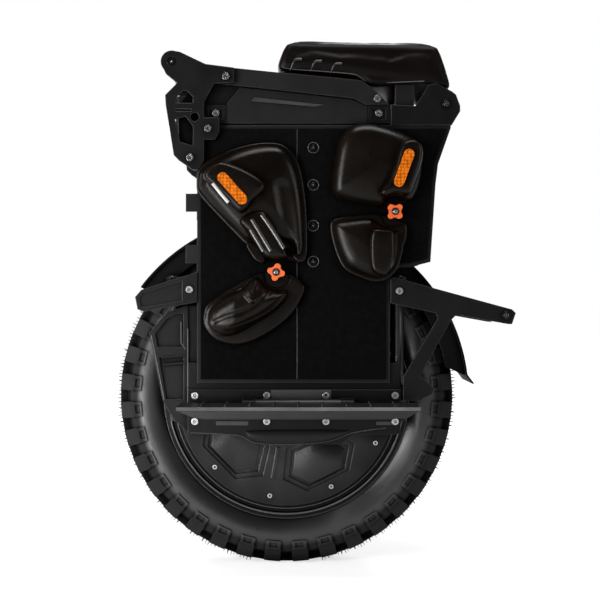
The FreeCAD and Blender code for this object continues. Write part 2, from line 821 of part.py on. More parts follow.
def guard_arc(start, end, inner_radius, near, far):
    """A curved sheet or skirt over the tyre between two angles that count up from the rear."""
    wire = [V(inner_radius, near, axle_z), V(guard_outer, near, axle_z), V(guard_outer, far, axle_z),
            V(inner_radius, far, axle_z)]
    face = Part.Face(Part.makePolygon(wire + wire[:1]))
    face.rotate(V(0, 0, axle_z), V(0, 1, 0), -start)
    return face.revolve(V(0, 0, axle_z), V(0, -1, 0), end - start)


def guard_stay(x0):
    """A flat stay from the guard's edge down to the inside of the carrier plate."""
    x1 = x0 + guard_stay_width
    half = carrier_depth / 2
    far = max(abs(x0), abs(x1))
    top = axle_z + math.sqrt(guard_radius ** 2 - far ** 2)
    inner = guard_half_width - guard_stay_wall
    strip = block(x0, x1, inner, guard_half_width, axle_z, top + guard_wall)
    foot = block(x0, x1, inner, carrier_inner, axle_z, axle_z + half)
    crop = Part.makeCylinder(guard_outer, 2 * carrier_inner, V(0, -carrier_inner, axle_z), V(0, 1, 0))
    upper = block(x0, x1, inner, guard_half_width, top, axle_z + guard_outer)
    return joined([strip, upper, foot]).common(crop)


def make_guard(start, end, stay_x):
    """A guard with a skirt down each side of the tyre."""
    stay = guard_stay(stay_x)
    sheet = guard_arc(start, end, guard_radius, -guard_half_width, guard_half_width)
    outer = guard_half_width - guard_skirt_inset
    skirt = guard_arc(start, end, guard_radius - guard_skirt, outer - guard_wall, outer)
    return joined([sheet, stay, mirrored(stay), skirt, mirrored(skirt)])


def make_front_fender():
    return make_guard(front_guard_start_angle, front_guard_end_angle, -guard_stay_x - guard_stay_width)


def make_rear_mudguard():
    """The rear guard, with skirts that slope off to a tip that flicks outwards."""
    guard = make_guard(rear_guard_start_angle, rear_guard_end_angle, guard_stay_x)
    angle = math.radians(rear_guard_start_angle)
    tip = math.radians(rear_guard_start_angle - guard_flick_angle)

    def at(r, a):
        return (r * math.cos(a), axle_z + r * math.sin(a))

    flick = [at(guard_radius, angle), at(guard_outer, angle), at(guard_outer + guard_flick, tip),
             at(guard_outer + guard_flick - guard_wall, tip)]
    low = guard_radius - guard_skirt - overrun
    lip = guard_radius - guard_wall
    slope = [at(low, angle + math.radians(guard_skirt_angle)), at(lip, angle), at(lip, tip), at(low, tip)]
    guard = guard.cut(prism(slope, -guard_half_width, guard_half_width))
    return joined([guard, prism(flick, -guard_half_width, guard_half_width)])


def make_guide_tube(x):
    return post(x, guide_depth, guide_radius, guide_foot, guide_top)


def screw_at(x, z, face):
    """A silver socket screw that stands on a face of the left side."""
    head = rod(x, z, screw_radius, face, face + screw_height)
    reach = screw_radius * screw_socket_share
    hexagon = [(x + reach * math.cos(math.radians(60 * i)), z + reach * math.sin(math.radians(60 * i)))
               for i in range(6)]
    top = face + screw_height
    socket = prism(hexagon, top - screw_socket_depth, top + overrun)
    shank = rod(x, z, screw_shank, face - screw_shank_length, face)
    return head.cut(socket).fuse(shank).removeSplitter()


def drilled(shape, places, face):
    """The shape with a blind hole for each screw that stands on the face."""
    for x, z in places:
        shape = shape.cut(rod(x, z, screw_shank + seat_gap, face - screw_shank_length - seat_gap,
                              face + overrun))
    return shape


def knob_place(share):
    return (panel_front_x + panel_length * share[0], panel_bottom + panel_height * share[1])


def panel_bolt_places():
    return [(panel_bolt_x, panel_bottom + panel_height * share) for share in panel_bolt_shares]


def panel_points():
    return placed(panel_outline_shares, panel_front_x, panel_bottom, panel_length, panel_height)


def with_stud_holes(shape, inner, outer):
    for share in (front_knob_share, rear_knob_share):
        x, z = knob_place(share)
        shape = shape.cut(rod(x, z, knob_stud_radius + running_gap, inner - overrun, outer + overrun))
    return shape


def make_side_panel():
    panel = prism(panel_points(), panel_inner, panel_outer)
    for i in range(panel_clip_count):
        z = bumper_top + panel_clip_gap + panel_clip_pitch * i
        panel = panel.fuse(block(panel_front_x - panel_clip_length, panel_front_x, panel_inner, panel_outer,
                                 z, z + panel_clip_height))
    panel = with_stud_holes(panel.removeSplitter(), panel_inner, panel_outer)
    for x, z in panel_bolt_places():
        panel = panel.cut(rod(x, z, panel_bolt_shank + seat_gap, panel_inner - overrun,
                              panel_outer + overrun))
    return panel


def make_grip_sheets():
    """The two halves of the left grip sheet, which part at an upright seam."""
    outline = Part.makePolygon([V(x, 0, z) for x, z in panel_points() + panel_points()[:1]])
    face = Part.Face(outline.makeOffset2D(-sheet_margin))
    sheet = face.extrude(V(0, panel_outer - sheet_outer, 0))
    sheet.translate(V(0, -panel_outer, 0))
    sheet = with_stud_holes(sheet, panel_outer, sheet_outer)
    for x, z in panel_bolt_places():
        sheet = sheet.cut(rod(x, z, panel_bolt_radius + slip_gap, panel_outer - overrun,
                              sheet_outer + overrun))
    seam = block(seam_x - seam_width / 2, seam_x + seam_width / 2, panel_outer - overrun,
                 sheet_outer + overrun, panel_bottom, panel_top)
    return sheet.cut(seam)


def make_panel_bolts():
    bolts = []
    for x, z in panel_bolt_places():
        washer_face = panel_outer + panel_bolt_head
        washer = rod(x, z, panel_bolt_radius, panel_outer, washer_face)
        button = rod(x, z, panel_bolt_button, washer_face, washer_face + panel_bolt_head)
        shank = rod(x, z, panel_bolt_shank, panel_inner, panel_outer)
        bolts.append(joined([washer, button, shank]))
    return Part.makeCompound(bolts)


def cover_line(lift):
    """The bent line that the top cover follows, as points in X and Z."""
    xs = (cover_front_x, cover_bend_x, cover_knee_x, cover_rear_x)
    rises = (cover_line_front, cover_line_bend, cover_line_knee, cover_line_rear)
    return [(x, panel_top + rise + lift) for x, rise in zip(xs, rises)]


def make_main_frame():
    """The tray that joins the two sides, with its deck, end walls and side walls."""
    deck = across(deck_front_x, deck_rear_x, panel_inner, deck_z, deck_z + deck_wall)
    front = across(deck_front_x - tray_wall, deck_front_x, panel_inner, deck_z - front_wall_rise,
                   panel_top + cover_line_front)
    rear = across(deck_rear_x, deck_rear_x + tray_wall, panel_inner, deck_z - rear_wall_rise, panel_top)
    wall = [(deck_front_x, deck_z)] + [(deck_front_x, panel_top + cover_line_front)] + cover_line(0)
    wall += [(cover_rear_x + cover_sheet, panel_top + cover_line_rear)]
    wall += [(deck_rear_x, panel_top + cover_line_rear), (deck_rear_x, deck_z)]
    side = prism(wall, tray_inner, panel_inner)
    return joined([deck, front, rear, side, mirrored(side)])


def make_battery_packs():
    """The front and rear packs on the left side."""
    bottom = axle_z + battery_bottom_rise
    packs = []
    for x0, x1 in ((battery_front_x, -battery_middle), (battery_middle, battery_rear_x)):
        pack = block(x0, x1, battery_inner, panel_inner, bottom, deck_z)
        upright = [e for e in pack.Edges if abs(e.Vertexes[0].Z - e.Vertexes[1].Z) > battery_edge]
        packs.append(pack.makeChamfer(battery_edge, upright))
    return Part.makeCompound(packs)


def make_controller():
    foot = deck_z + deck_wall
    top = foot + controller_height
    case = across(controller_front_x, controller_rear_x, controller_half_width, foot, top)
    pitch = 2 * controller_half_width / (controller_fin_count + 1)
    fins = []
    for i in range(controller_fin_count):
        y = -controller_half_width + pitch * (i + 1)
        fins.append(block(controller_front_x, controller_rear_x, y - controller_fin_wall / 2,
                          y + controller_fin_wall / 2, top, top + controller_fin_height))
    return joined([case] + fins)


def on_cover(x):
    """The height of the top cover's upper face in front of its bend."""
    share = (x - cover_front_x) / (cover_bend_x - cover_front_x)
    return panel_top + cover_line_front + (cover_line_bend - cover_line_front) * share + cover_sheet


def make_top_cover():
    """The bent sheet over the frame, with the charge socket's collar and a hole for the button."""
    sheet = prism(cover_line(0) + list(reversed(cover_line(cover_sheet))), -panel_inner, panel_inner)
    depth = panel_inner * charge_depth_share
    top = on_cover(charge_x) + charge_collar_height
    collar = post(charge_x, depth, charge_collar, on_cover(charge_x) - cover_sheet, top)
    sheet = joined([sheet, collar])
    sheet = sheet.cut(post(charge_x, depth, charge_radius, panel_top, top + overrun))
    sheet = sheet.cut(post(button_x, 0, button_radius + slip_gap, panel_top, top + overrun))
    return sheet.cut(display_block(overrun, seat_gap))


def display_block(lift, margin):
    """The display's block, sunk in the cover and lying on its slope."""
    half = display_length / 2 + margin
    line = [(x, on_cover(x)) for x in (display_x - half, display_x + half)]
    lower = [(x, z - display_sink) for x, z in line]
    upper = [(x, z - display_sink + display_height + lift) for x, z in reversed(line)]
    return prism(lower + upper, -display_half_width - margin, display_half_width + margin)


def make_power_button():
    """The button, with a flange under the cover that keeps it in."""
    top = on_cover(button_x) + button_height - cover_sheet / 2
    foot = on_cover(button_x) - cover_sheet - button_travel
    cap = post(button_x, 0, button_radius, foot, top)
    flange = post(button_x, 0, button_radius + button_travel, foot - button_travel, foot)
    return joined([cap, flange])


def make_top_rail():
    points = placed(rail_outline_shares, rail_front_x, panel_top + rail_bottom, rail_length, rail_height)
    rail = prism(points, panel_inner, rail_outer)
    return drilled(rail, rail_screws(), rail_outer)


def rail_screws():
    return placed(rail_screw_shares, rail_front_x, panel_top + rail_bottom, rail_length, rail_height)


def upper_cover_box():
    return (upper_cover_front_x, panel_top + upper_cover_bottom, upper_cover_length, upper_cover_height)


def make_upper_cover():
    return prism(placed(upper_cover_shares, *upper_cover_box()), panel_inner, panel_inner + upper_cover_wall)


def make_light_strip():
    face = panel_inner + upper_cover_wall
    return prism(placed(strip_shares, *upper_cover_box()), face, face + strip_height)


def corner_plate_boxes():
    bottom = panel_top + upper_cover_bottom
    front = upper_cover_front_x - corner_plate_gap - corner_plate_length
    rear = upper_cover_front_x + upper_cover_length + corner_plate_gap
    return [(x, bottom, corner_plate_length, corner_plate_height) for x in (front, rear)]


def corner_plate_screws():
    return [point for box in corner_plate_boxes() for point in placed(corner_plate_screw_shares, *box)]


def make_corner_plates():
    """The front and rear plates of the left side, each with a screw in a square recess."""
    face = panel_inner + corner_plate_wall
    edge = corner_plate_frame
    plates = []
    for x, z, length, height in corner_plate_boxes():
        plate = block(x, x + length, panel_inner, face, z, z + height)
        plate = plate.cut(block(x + edge, x + length - edge, face - corner_plate_recess, face + overrun,
                                z + edge, z + height - edge))
        plates.append(drilled(plate, corner_plate_screws(), face - corner_plate_recess))
    return Part.makeCompound(plates)


def bracket_box():
    return (bracket_front_x, panel_top - bracket_drop, bracket_length, bracket_height)


def bracket_eye():
    return placed([bracket_eye_share], *bracket_box())[0]


def bracket_screws():
    return placed(bracket_screw_shares, *bracket_box())


def make_front_bracket():
    """The left front bracket: an arm with a round eye for the handle, over a plate with openings."""
    x, z = bracket_eye()
    outer = bracket_outer
    plate = prism(placed(bracket_outline_shares, *bracket_box()), rail_outer, outer)
    plate = joined([plate, rod(x, z, bracket_eye_radius, rail_outer, outer)])
    for shares in (bracket_window_shares, bracket_slot_shares):
        plate = plate.cut(prism(placed(shares, *bracket_box()), rail_outer - overrun, outer + overrun))
    hole = placed([bracket_hole_share], *bracket_box())[0]
    plate = plate.cut(rod(*hole, bracket_hole_radius, rail_outer - overrun, outer + overrun))
    groove = placed(bracket_groove_shares, *bracket_box())
    plate = plate.cut(prism(groove, outer - bracket_groove_depth, outer + overrun))
    recess = bracket_eye_radius * bracket_eye_recess_share
    plate = plate.cut(rod(x, z, recess, outer - bracket_groove_depth, outer + overrun))
    spacer = block(panel_front_x, panel_front_x + sheet_margin, panel_outer, rail_outer, deck_z, panel_top)
    return drilled(joined([plate, spacer]), bracket_screws(), outer)


def make_lamp(back_x, depth, margin, edge):
    """A block of the headlight with rounded upright corners, in front of a given X."""
    bottom = panel_top + lamp_bottom + margin
    top = panel_top + lamp_bottom + lamp_height - margin
    lamp = across(back_x - depth, back_x, lamp_half_width - margin, bottom, top)
    front = [e for e in lamp.Edges if e.BoundBox.XMax < back_x - depth / 2]
    return lamp.makeChamfer(edge, front)


def headlight_back():
    return deck_front_x - tray_wall


def make_headlight_housing():
    return make_lamp(headlight_back(), lamp_depth, 0, lamp_edge / 2)


def make_headlight_lens():
    return make_lamp(headlight_back() - lamp_depth, lens_depth, lens_margin, lamp_edge)


def rear_bracket_box():
    return (rear_bracket_front_x, panel_top + slip_gap, rear_bracket_length, rear_bracket_height)


def rear_bar_place():
    return placed([rear_bar_share], *rear_bracket_box())[0]


def make_rear_bracket():
    face = panel_inner + rear_bracket_wall
    bracket = prism(placed(rear_bracket_shares, *rear_bracket_box()), panel_inner, face)
    return drilled(bracket, [rear_bar_place()], face)


def make_tail_light():
    x = deck_rear_x + tray_wall
    top = panel_top - deck_wall
    return across(x, x + tail_light_depth, tail_light_half_width, top - tail_light_height, top)


def make_cross_bars():
    """The front handle, the rear handle and the bar between the stands."""
    front = rod(*bracket_eye(), bar_radius, -rail_outer, rail_outer)
    rear = rod(*rear_bar_place(), rear_bar_radius, -panel_inner, panel_inner)
    stand = rod(*stand_bar_place(), stand_bar_radius, -panel_inner, panel_inner)
    return Part.makeCompound([front, rear, stand])


def seat_base_solid():
    """The seat's board, which lies along the top cover and runs level behind its bend."""
    front = seat_front_x + seat_base_front
    rear = seat_front_x + seat_length - seat_base_rear
    lower = [(front, on_cover(front)), (cover_bend_x, on_cover(cover_bend_x)),
             (rear, on_cover(cover_bend_x))]
    upper = [(x, z + seat_base_wall) for x, z in reversed(lower)]
    return prism(lower + upper, -seat_base_half_width, seat_base_half_width)


def make_seat_base():
    """The board with a block on each side that stands beside the rear bracket."""
    top = on_cover(cover_bend_x)
    leg = block(seat_block_x, seat_block_x + seat_block_length, seat_base_half_width - tray_wall * 2,
                panel_inner, panel_top + cover_line_rear, top + seat_base_wall / 2)
    return joined([seat_base_solid(), leg, mirrored(leg)])


def below_cover():
    """The room that the top cover takes under the seat."""
    line = cover_line(cover_sheet + slip_gap)
    foot = [(cover_rear_x, panel_top), (cover_front_x, panel_top)]
    return prism(line + foot, -seat_half_width, seat_half_width)


def make_seat_cushion():
    """The cushion: its side outline, crowned across the top and drawn in at the sides."""
    bottom = panel_top + seat_bottom
    side = prism(placed(seat_side_shares, seat_front_x, bottom, seat_length, seat_height),
                 -seat_half_width, seat_half_width)
    half = [(seat_half_width * a, bottom + seat_height * b) for a, b in seat_crown_shares]
    line = [V(seat_front_x - overrun, -y, z) for y, z in reversed(half)]
    line += [V(seat_front_x - overrun, y, z) for y, z in half[1:]]
    curve = Part.BSplineCurve()
    curve.interpolate(line)
    wire = Part.Wire([curve.toShape(), Part.makeLine(line[-1], line[0])])
    crown = Part.Face(wire).extrude(V(seat_length + 2 * overrun, 0, 0))
    return side.common(crown).cut(make_seat_base()).cut(below_cover())


def bumper_box():
    return (bumper_front_x, bumper_bottom, panel_front_x - bumper_front_x, bumper_height)


def with_guide_clamp(arm, x, web_x):
    """The arm with a clamp round the top of a guide tube, and a web from the clamp to the arm."""
    top = guide_top - guide_tip
    foot = top - guide_clamp_height
    front, rear = sorted((x, web_x))
    clamp = post(x, guide_depth, guide_boss_radius, foot, top)
    web = block(front - bumper_lug, rear + bumper_lug, guide_depth + guide_radius, panel_inner, foot, top)
    tube = post(x, guide_depth, guide_radius, foot - overrun, top + overrun)
    return joined([arm, clamp, web]).cut(tube)


def make_bumper_arm():
    """The left front arm, with a sunk face and the clamp of the front guide tube behind it."""
    face = panel_inner + bumper_wall
    arm = prism(placed(bumper_outline_shares, *bumper_box()), panel_inner, face)
    arm = arm.cut(prism(placed(bumper_face_shares, *bumper_box()), face - bumper_face_depth, face + overrun))
    arm = with_guide_clamp(arm, -guide_x, panel_front_x)
    return drilled(arm, placed(bumper_screw_shares, *bumper_box()), face)


def leg_box():
    return (leg_front_x, axle_z - leg_drop, leg_length, leg_height)


def make_leg_cover():
    """The left leg cover: a plate with a raised frame round two pockets."""
    outer = hanger_inner - leg_gap
    inner = outer - leg_wall
    face = outer + leg_rib
    frame = prism(placed(leg_outline_shares, *leg_box()), inner, face)
    for shares in (leg_upper_pocket_shares, leg_lower_pocket_shares):
        frame = frame.cut(prism(placed(shares, *leg_box()), outer, face + overrun))
    x = hanger_front_x - leg_gap
    bottom = axle_z - hanger_drop
    relief = block(x, panel_front_x + overrun, outer, face + overrun, bottom - leg_height, guide_top)
    return frame.cut(relief)


def stand_box():
    front = panel_step_x + stand_front_gap
    return (front, stand_bottom, stand_rear_x - front, stand_height)


def stand_bar_place():
    return placed([stand_bar_share], *stand_box())[0]


def make_rear_stand():
    """The left rear stand, with its brace, foot and the clamp of the rear guide tube."""
    face = panel_inner + stand_wall
    stand = prism(placed(stand_outline_shares, *stand_box()), panel_inner, face)
    stand = with_guide_clamp(stand, guide_x, panel_step_x)
    return drilled(stand, placed(stand_screw_shares, *stand_box()) + [stand_bar_place()], face)


def hanger_screws():
    length = hanger_rear_x - hanger_front_x
    xs = [hanger_front_x + length * share for share in hanger_screw_shares]
    return [(x, axle_z + rise) for rise in (hanger_upper_screw, hanger_lower_screw) for x in xs]


def guide_lug(x, turn):
    """The lug round the foot of a guide tube, with a web behind the leg cover to the back plate."""
    foot = guide_foot - guide_tip
    top = foot + guide_lug_height
    end = x + turn * guide_web_reach
    near, far = sorted((x, end))
    lap_near, lap_far = sorted((end, end - turn * guide_web_lap))
    web = block(near, far, guide_depth, hanger_inner - leg_gap * 2 - leg_wall, foot, top)
    lap = block(lap_near, lap_far, guide_depth, hanger_inner + hanger_wall / 2, foot, top)
    return joined([post(x, guide_depth, guide_boss_radius, foot, top), web, lap])


def make_hanger():
    """The left pedal hanger: a back plate behind the side panel, a face plate and the hinge lugs."""
    top = axle_z + hanger_top_rise
    bottom = axle_z - hanger_drop
    back = block(hanger_front_x, hanger_rear_x, hanger_inner, panel_inner, bottom,
                 panel_bottom + hanger_overlap)
    tail = block(hanger_rear_x, hanger_tail_x, hanger_inner, panel_inner, stand_bottom,
                 stand_bottom + stand_height * hanger_tail_share)
    face = block(hanger_front_x, hanger_rear_x, panel_inner, hanger_outer, bottom, top)
    x1 = hinge_block_x + hinge_block_length
    low = axle_z - hinge_block_drop
    bulge = [(hinge_block_x, bottom), (hinge_block_x + hinge_lug_length, low), (x1 - hinge_lug_length, low),
             (x1, bottom), (x1, axle_z), (hinge_block_x, axle_z)]
    middle = block(middle_plate_x, middle_plate_x + middle_plate_length, hanger_outer,
                   hanger_outer + middle_plate_wall, hinge_z + hinge_eye + slip_gap, top)
    parts = [back, tail, face, prism(bulge, hanger_inner, hanger_outer), middle]
    for x in (hinge_block_x, x1 - hinge_lug_length):
        lug = block(x, x + hinge_lug_length, hanger_outer - overrun, hinge_y, hinge_z - hinge_eye,
                    hinge_z + hinge_eye)
        eye = Part.makeCylinder(hinge_eye, hinge_lug_length, V(x, -hinge_y, hinge_z), V(1, 0, 0))
        parts += [lug, eye]
    parts += [guide_lug(-guide_x, 1), guide_lug(guide_x, -1)]
    hanger = joined(parts)
    hanger = hanger.cut(make_hinge_pin())
    for x in (-guide_x, guide_x):
        hanger = hanger.cut(post(x, guide_depth, guide_radius, guide_foot, guide_top))
    return drilled(hanger, hanger_screws(), hanger_outer)


def make_hinge_pin():
    foot = V(hinge_block_x, -hinge_y, hinge_z)
    return Part.makeCylinder(hinge_radius, hinge_block_length, foot, V(1, 0, 0))


def pedal_studs():
    """Grip studs in rows on the left pedal."""
    studs = []
    for i in range(stud_column_count):
        for j in range(stud_row_count):
            x = pedal_front_x + pedal_length * (i + 1) / (stud_column_count + 1)
            depth = hinge_y + pedal_root + (pedal_width - pedal_root) * (j + 0.5) / stud_row_count
            studs.append(post(x, depth, stud_radius, pedal_top - stud_height / 2, pedal_top + stud_height))
    return studs


def pedal_edge():
    """What the bevel along the left pedal's outer edge takes away."""
    x = pedal_front_x - overrun
    beyond = pedal_outer + overrun
    loop = [V(x, pedal_bevel - pedal_outer, pedal_top), V(x, -beyond, pedal_top),
            V(x, -beyond, pedal_top - pedal_bevel - overrun)]
    return Part.Face(Part.makePolygon(loop + loop[:1])).extrude(V(pedal_length + 2 * overrun, 0, 0))


def make_pedal():
    """The left pedal: a tread with wedge ends, hollow below, on a hinge knuckle with a stop heel."""
    bottom = pedal_top - pedal_height
    inner = hinge_y + pedal_root
    points = placed(pedal_side_shares, pedal_front_x, bottom, pedal_length, pedal_height)
    pedal = prism(points, inner, pedal_outer).cut(pedal_edge())
    span = pedal_length * (1 - 2 * pedal_side_shares[5][0])
    bay = span / pedal_bay_count
    for i in range(pedal_bay_count):
        x = pedal_front_x + pedal_length * pedal_side_shares[5][0] + bay * i
        pedal = pedal.cut(block(x + pedal_rim / 2, x + bay - pedal_rim / 2, inner + pedal_rim,
                                pedal_outer - pedal_rim, bottom - overrun, pedal_top - pedal_skin))
    x0 = hinge_block_x + hinge_lug_length + slip_gap
    length = hinge_block_length - 2 * hinge_lug_length - 2 * slip_gap
    knuckle = Part.makeCylinder(hinge_eye, length, V(x0, -hinge_y, hinge_z), V(1, 0, 0))
    web = block(x0, x0 + length, hinge_y, inner + pedal_rim, hinge_z - hinge_eye, pedal_top - slip_gap)
    heel = block(x0, x0 + length, hanger_outer + slip_gap, inner, bottom, bottom + pedal_heel)
    neck = block(x0, x0 + length, hinge_y - hinge_radius, inner, bottom, hinge_z)
    pedal = joined([pedal, knuckle, web, heel, neck])
    bore = Part.makeCylinder(hinge_radius + running_gap, length + 2 * overrun,
                             V(x0 - overrun, -hinge_y, hinge_z), V(1, 0, 0))
    return pedal.cut(bore).fuse(pedal_studs())


def pad_box(knob_share, share, length, height):
    """A pad's box, placed so that the star knob lies at a share of it."""
    x, z = knob_place(knob_share)
    return (x - length * share[0], z - height * share[1], length, height)


def smooth_wire(points, depth, share):
    """A closed smooth outline at a distance from the middle, drawn in towards its centre by a share."""
    cx = sum(x for x, z in points) / len(points)
    cz = sum(z for x, z in points) / len(points)
    curve = Part.BSplineCurve()
    curve.interpolate([V(cx + (x - cx) * share, -depth, cz + (z - cz) * share) for x, z in points],
                      PeriodicFlag=True)
    return Part.Wire(curve.toShape())


def moulded(points, inner, depth):
    """A moulded pad with a smooth outline and a face drawn in towards its top."""
    wires = [smooth_wire(points, inner, 1), smooth_wire(points, inner + depth * pad_waist_share, 1),
             smooth_wire(points, inner + depth, pad_top_share)]
    return Part.makeLoft(wires, True, True)


def front_upper_box():
    return pad_box(front_knob_share, front_upper_knob_share, front_upper_length, front_upper_height)


def rear_upper_box():
    return pad_box(rear_knob_share, rear_upper_knob_share, rear_upper_length, rear_upper_height)


def knob_room(share):
    """The space that a star knob and the tongue under it need."""
    return rod(*knob_place(share), tongue_radius + slip_gap * 2, pad_inner - overrun,
               sheet_outer + front_upper_depth * 2 + frame_depth)


def make_front_upper_pad():
    pad = moulded(placed(front_upper_shares, *front_upper_box()), pad_inner, front_upper_depth)
    return pad.cut(knob_room(front_knob_share))


def make_rear_upper_pad():
    pad = moulded(placed(rear_upper_shares, *rear_upper_box()), pad_inner, rear_upper_depth)
    return pad.cut(knob_room(rear_knob_share))


def make_pad_frames():
    """The hard frames on the front and rear upper pads of the left side."""
    front_face = pad_inner + front_upper_depth
    rear_face = pad_inner + rear_upper_depth
    block_part = prism(placed(front_frame_shares, *front_upper_box()), front_face, front_face + frame_depth)
    arm = prism(placed(front_arm_shares, *front_upper_box()), front_face, front_face + arm_depth)
    rear = prism(placed(rear_frame_shares, *rear_upper_box()), rear_face, rear_face + frame_depth)
    return [joined([block_part, arm]).cut(knob_room(front_knob_share)), rear.cut(knob_room(rear_knob_share))]


def lower_pad(points, depth, knob_share):
    """A pad that turns about its star knob on a tongue."""
    x, z = knob_place(knob_share)
    pad = moulded(points, pad_inner, depth)
    pad = pad.cut(rod(x, z, knob_radius + slip_gap * 2, pad_inner + tongue_wall, pad_inner + depth + overrun))
    pad = pad.fuse(rod(x, z, tongue_radius, pad_inner, pad_inner + tongue_wall))
    return pad.cut(rod(x, z, knob_stud_radius + running_gap, panel_inner, pad_inner + depth))


def make_front_lower_pad():
    box = pad_box(front_knob_share, front_lower_knob_share, front_lower_length, front_lower_height)
    return lower_pad(placed(front_lower_shares, *box), front_lower_depth, front_knob_share)


def make_rear_lower_pad():
    box = pad_box(rear_knob_share, rear_lower_knob_share, rear_lower_length, rear_lower_height)
    return lower_pad(placed(rear_lower_shares, *box), rear_lower_depth, rear_knob_share)


def make_knob(share, turn):
    """A star knob on a stud that goes through the tongue into the side panel."""
    x, z = knob_place(share)
    foot = pad_inner + tongue_wall + slip_gap
    face = foot + knob_foot
    parts = [rod(x, z, knob_core_radius, foot, face + knob_height),
             rod(x, z, knob_stud_radius, panel_inner + seat_gap, foot + knob_foot)]
    ring_radius = knob_radius - knob_lobe_radius
    for i in range(knob_lobe_count):
        angle = math.radians(turn + i * 360 / knob_lobe_count)
        parts.append(rod(x + ring_radius * math.cos(angle), z + ring_radius * math.sin(angle),
                         knob_lobe_radius, face, face + knob_height))
    return joined(parts)


def reflector(box, share, turn, depth):
    """A reflector with round ends on a pad's frame."""
    x, z = placed([share], *box)[0]
    face = pad_inner + depth + frame_depth
    half = reflector_width / 2
    straight = reflector_length / 2 - half
    parts = [block(x - straight, x + straight, face, face + reflector_wall, z - half, z + half)]
    for end in (x - straight, x + straight):
        parts.append(rod(end, z, half, face, face + reflector_wall))
    solid = joined(parts)
    solid.rotate(V(x, 0, z), V(0, 1, 0), turn)
    return solid


def make_reflectors():
    return [reflector(front_upper_box(), front_reflector_share, front_reflector_angle, front_upper_depth),
            reflector(rear_upper_box(), rear_reflector_share, rear_reflector_angle, rear_upper_depth)]


def make_frame_screws():
    """Every silver screw on the left side."""
    places = [(p, rail_outer) for p in rail_screws()]
    places += [(p, panel_inner + corner_plate_wall - corner_plate_recess) for p in corner_plate_screws()]
    places += [(p, bracket_outer) for p in bracket_screws()]
    places += [(p, panel_inner + bumper_wall) for p in placed(bumper_screw_shares, *bumper_box())]
    places += [(p, panel_inner + stand_wall) for p in placed(stand_screw_shares, *stand_box())]
    places += [(stand_bar_place(), panel_inner + stand_wall)]
    places += [(rear_bar_place(), panel_inner + rear_bracket_wall)]
    places += [(p, hanger_outer) for p in hanger_screws()]
    return Part.makeCompound([screw_at(x, z, face) for (x, z), face in places])


def both_sides(name, solid):
    return {name + "_left": solid, name + "_right": mirrored(solid)}


def make_nodes():
    nodes = {
        "tyre": make_tyre(),
        "rim": make_rim(),
        "magnet_ring": make_magnet_ring(),
        "wheel_bearings": pair(make_wheel_bearing()),
        "motor_cover_screws": make_cover_screws(),
        "valve_stem": make_valve_stem(),
        "axle": make_axle(),
        "stator": make_stator(),
        "axle_carriers": pair(make_axle_carrier()),
        "axle_nuts": pair(make_axle_nut()),
        "strut_shafts": pair(make_strut_shaft()),
        "strut_bodies": pair(make_strut_body()),
        "front_fender": make_front_fender(),
        "rear_mudguard": make_rear_mudguard(),
        "guide_tubes": pair(Part.makeCompound([make_guide_tube(-guide_x), make_guide_tube(guide_x)])),
        "main_frame": make_main_frame(),
        "battery_packs": pair(make_battery_packs()),
        "controller": make_controller(),
        "grip_sheets": pair(make_grip_sheets()),
        "panel_bolts": pair(make_panel_bolts()),
        "frame_screws": pair(make_frame_screws()),
        "upper_covers": pair(make_upper_cover()),
        "light_strips": pair(make_light_strip()),
        "corner_plates": pair(make_corner_plates()),
        "top_rails": pair(make_top_rail()),
        "front_brackets": pair(make_front_bracket()),
        "cross_bars": make_cross_bars(),
        "headlight_housing": make_headlight_housing(),
        "headlight_lens": make_headlight_lens(),
        "rear_brackets": pair(make_rear_bracket()),
        "tail_light": make_tail_light(),
        "top_cover": make_top_cover(),
        "display": display_block(0, 0),
        "power_button": make_power_button(),
        "seat_base": make_seat_base(),
        "seat_cushion": make_seat_cushion(),
        "bumper_arms": pair(make_bumper_arm()),
        "leg_covers": pair(make_leg_cover()),
        "rear_stands": pair(make_rear_stand()),
        "pedal_hinge_pins": pair(make_hinge_pin()),
        "front_upper_pads": pair(make_front_upper_pad()),
        "rear_upper_pads": pair(make_rear_upper_pad()),
        "pad_frames": pair(Part.makeCompound(make_pad_frames())),
        "reflectors": pair(Part.makeCompound(make_reflectors())),
    }
    nodes |= both_sides("motor_cover", make_motor_cover())
    nodes |= both_sides("side_panel", make_side_panel())
    nodes |= both_sides("hanger", make_hanger())
    nodes |= both_sides("pedal", make_pedal())
    nodes |= both_sides("front_lower_pad", make_front_lower_pad())
    nodes |= both_sides("rear_lower_pad", make_rear_lower_pad())
    nodes |= both_sides("front_knob", make_knob(front_knob_share, front_knob_angle))
    nodes |= both_sides("rear_knob", make_knob(rear_knob_share, rear_knob_angle))
    return nodes


os.makedirs("parts", exist_ok=True)
for node, shape in make_nodes().items():
    shape.exportStep("parts/" + node + ".step")
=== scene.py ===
import json
import math

import bmesh
import bpy
import numpy as np
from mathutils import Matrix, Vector
from mathutils.bvhtree import BVHTree
from mathutils.geometry import delaunay_2d_cdt

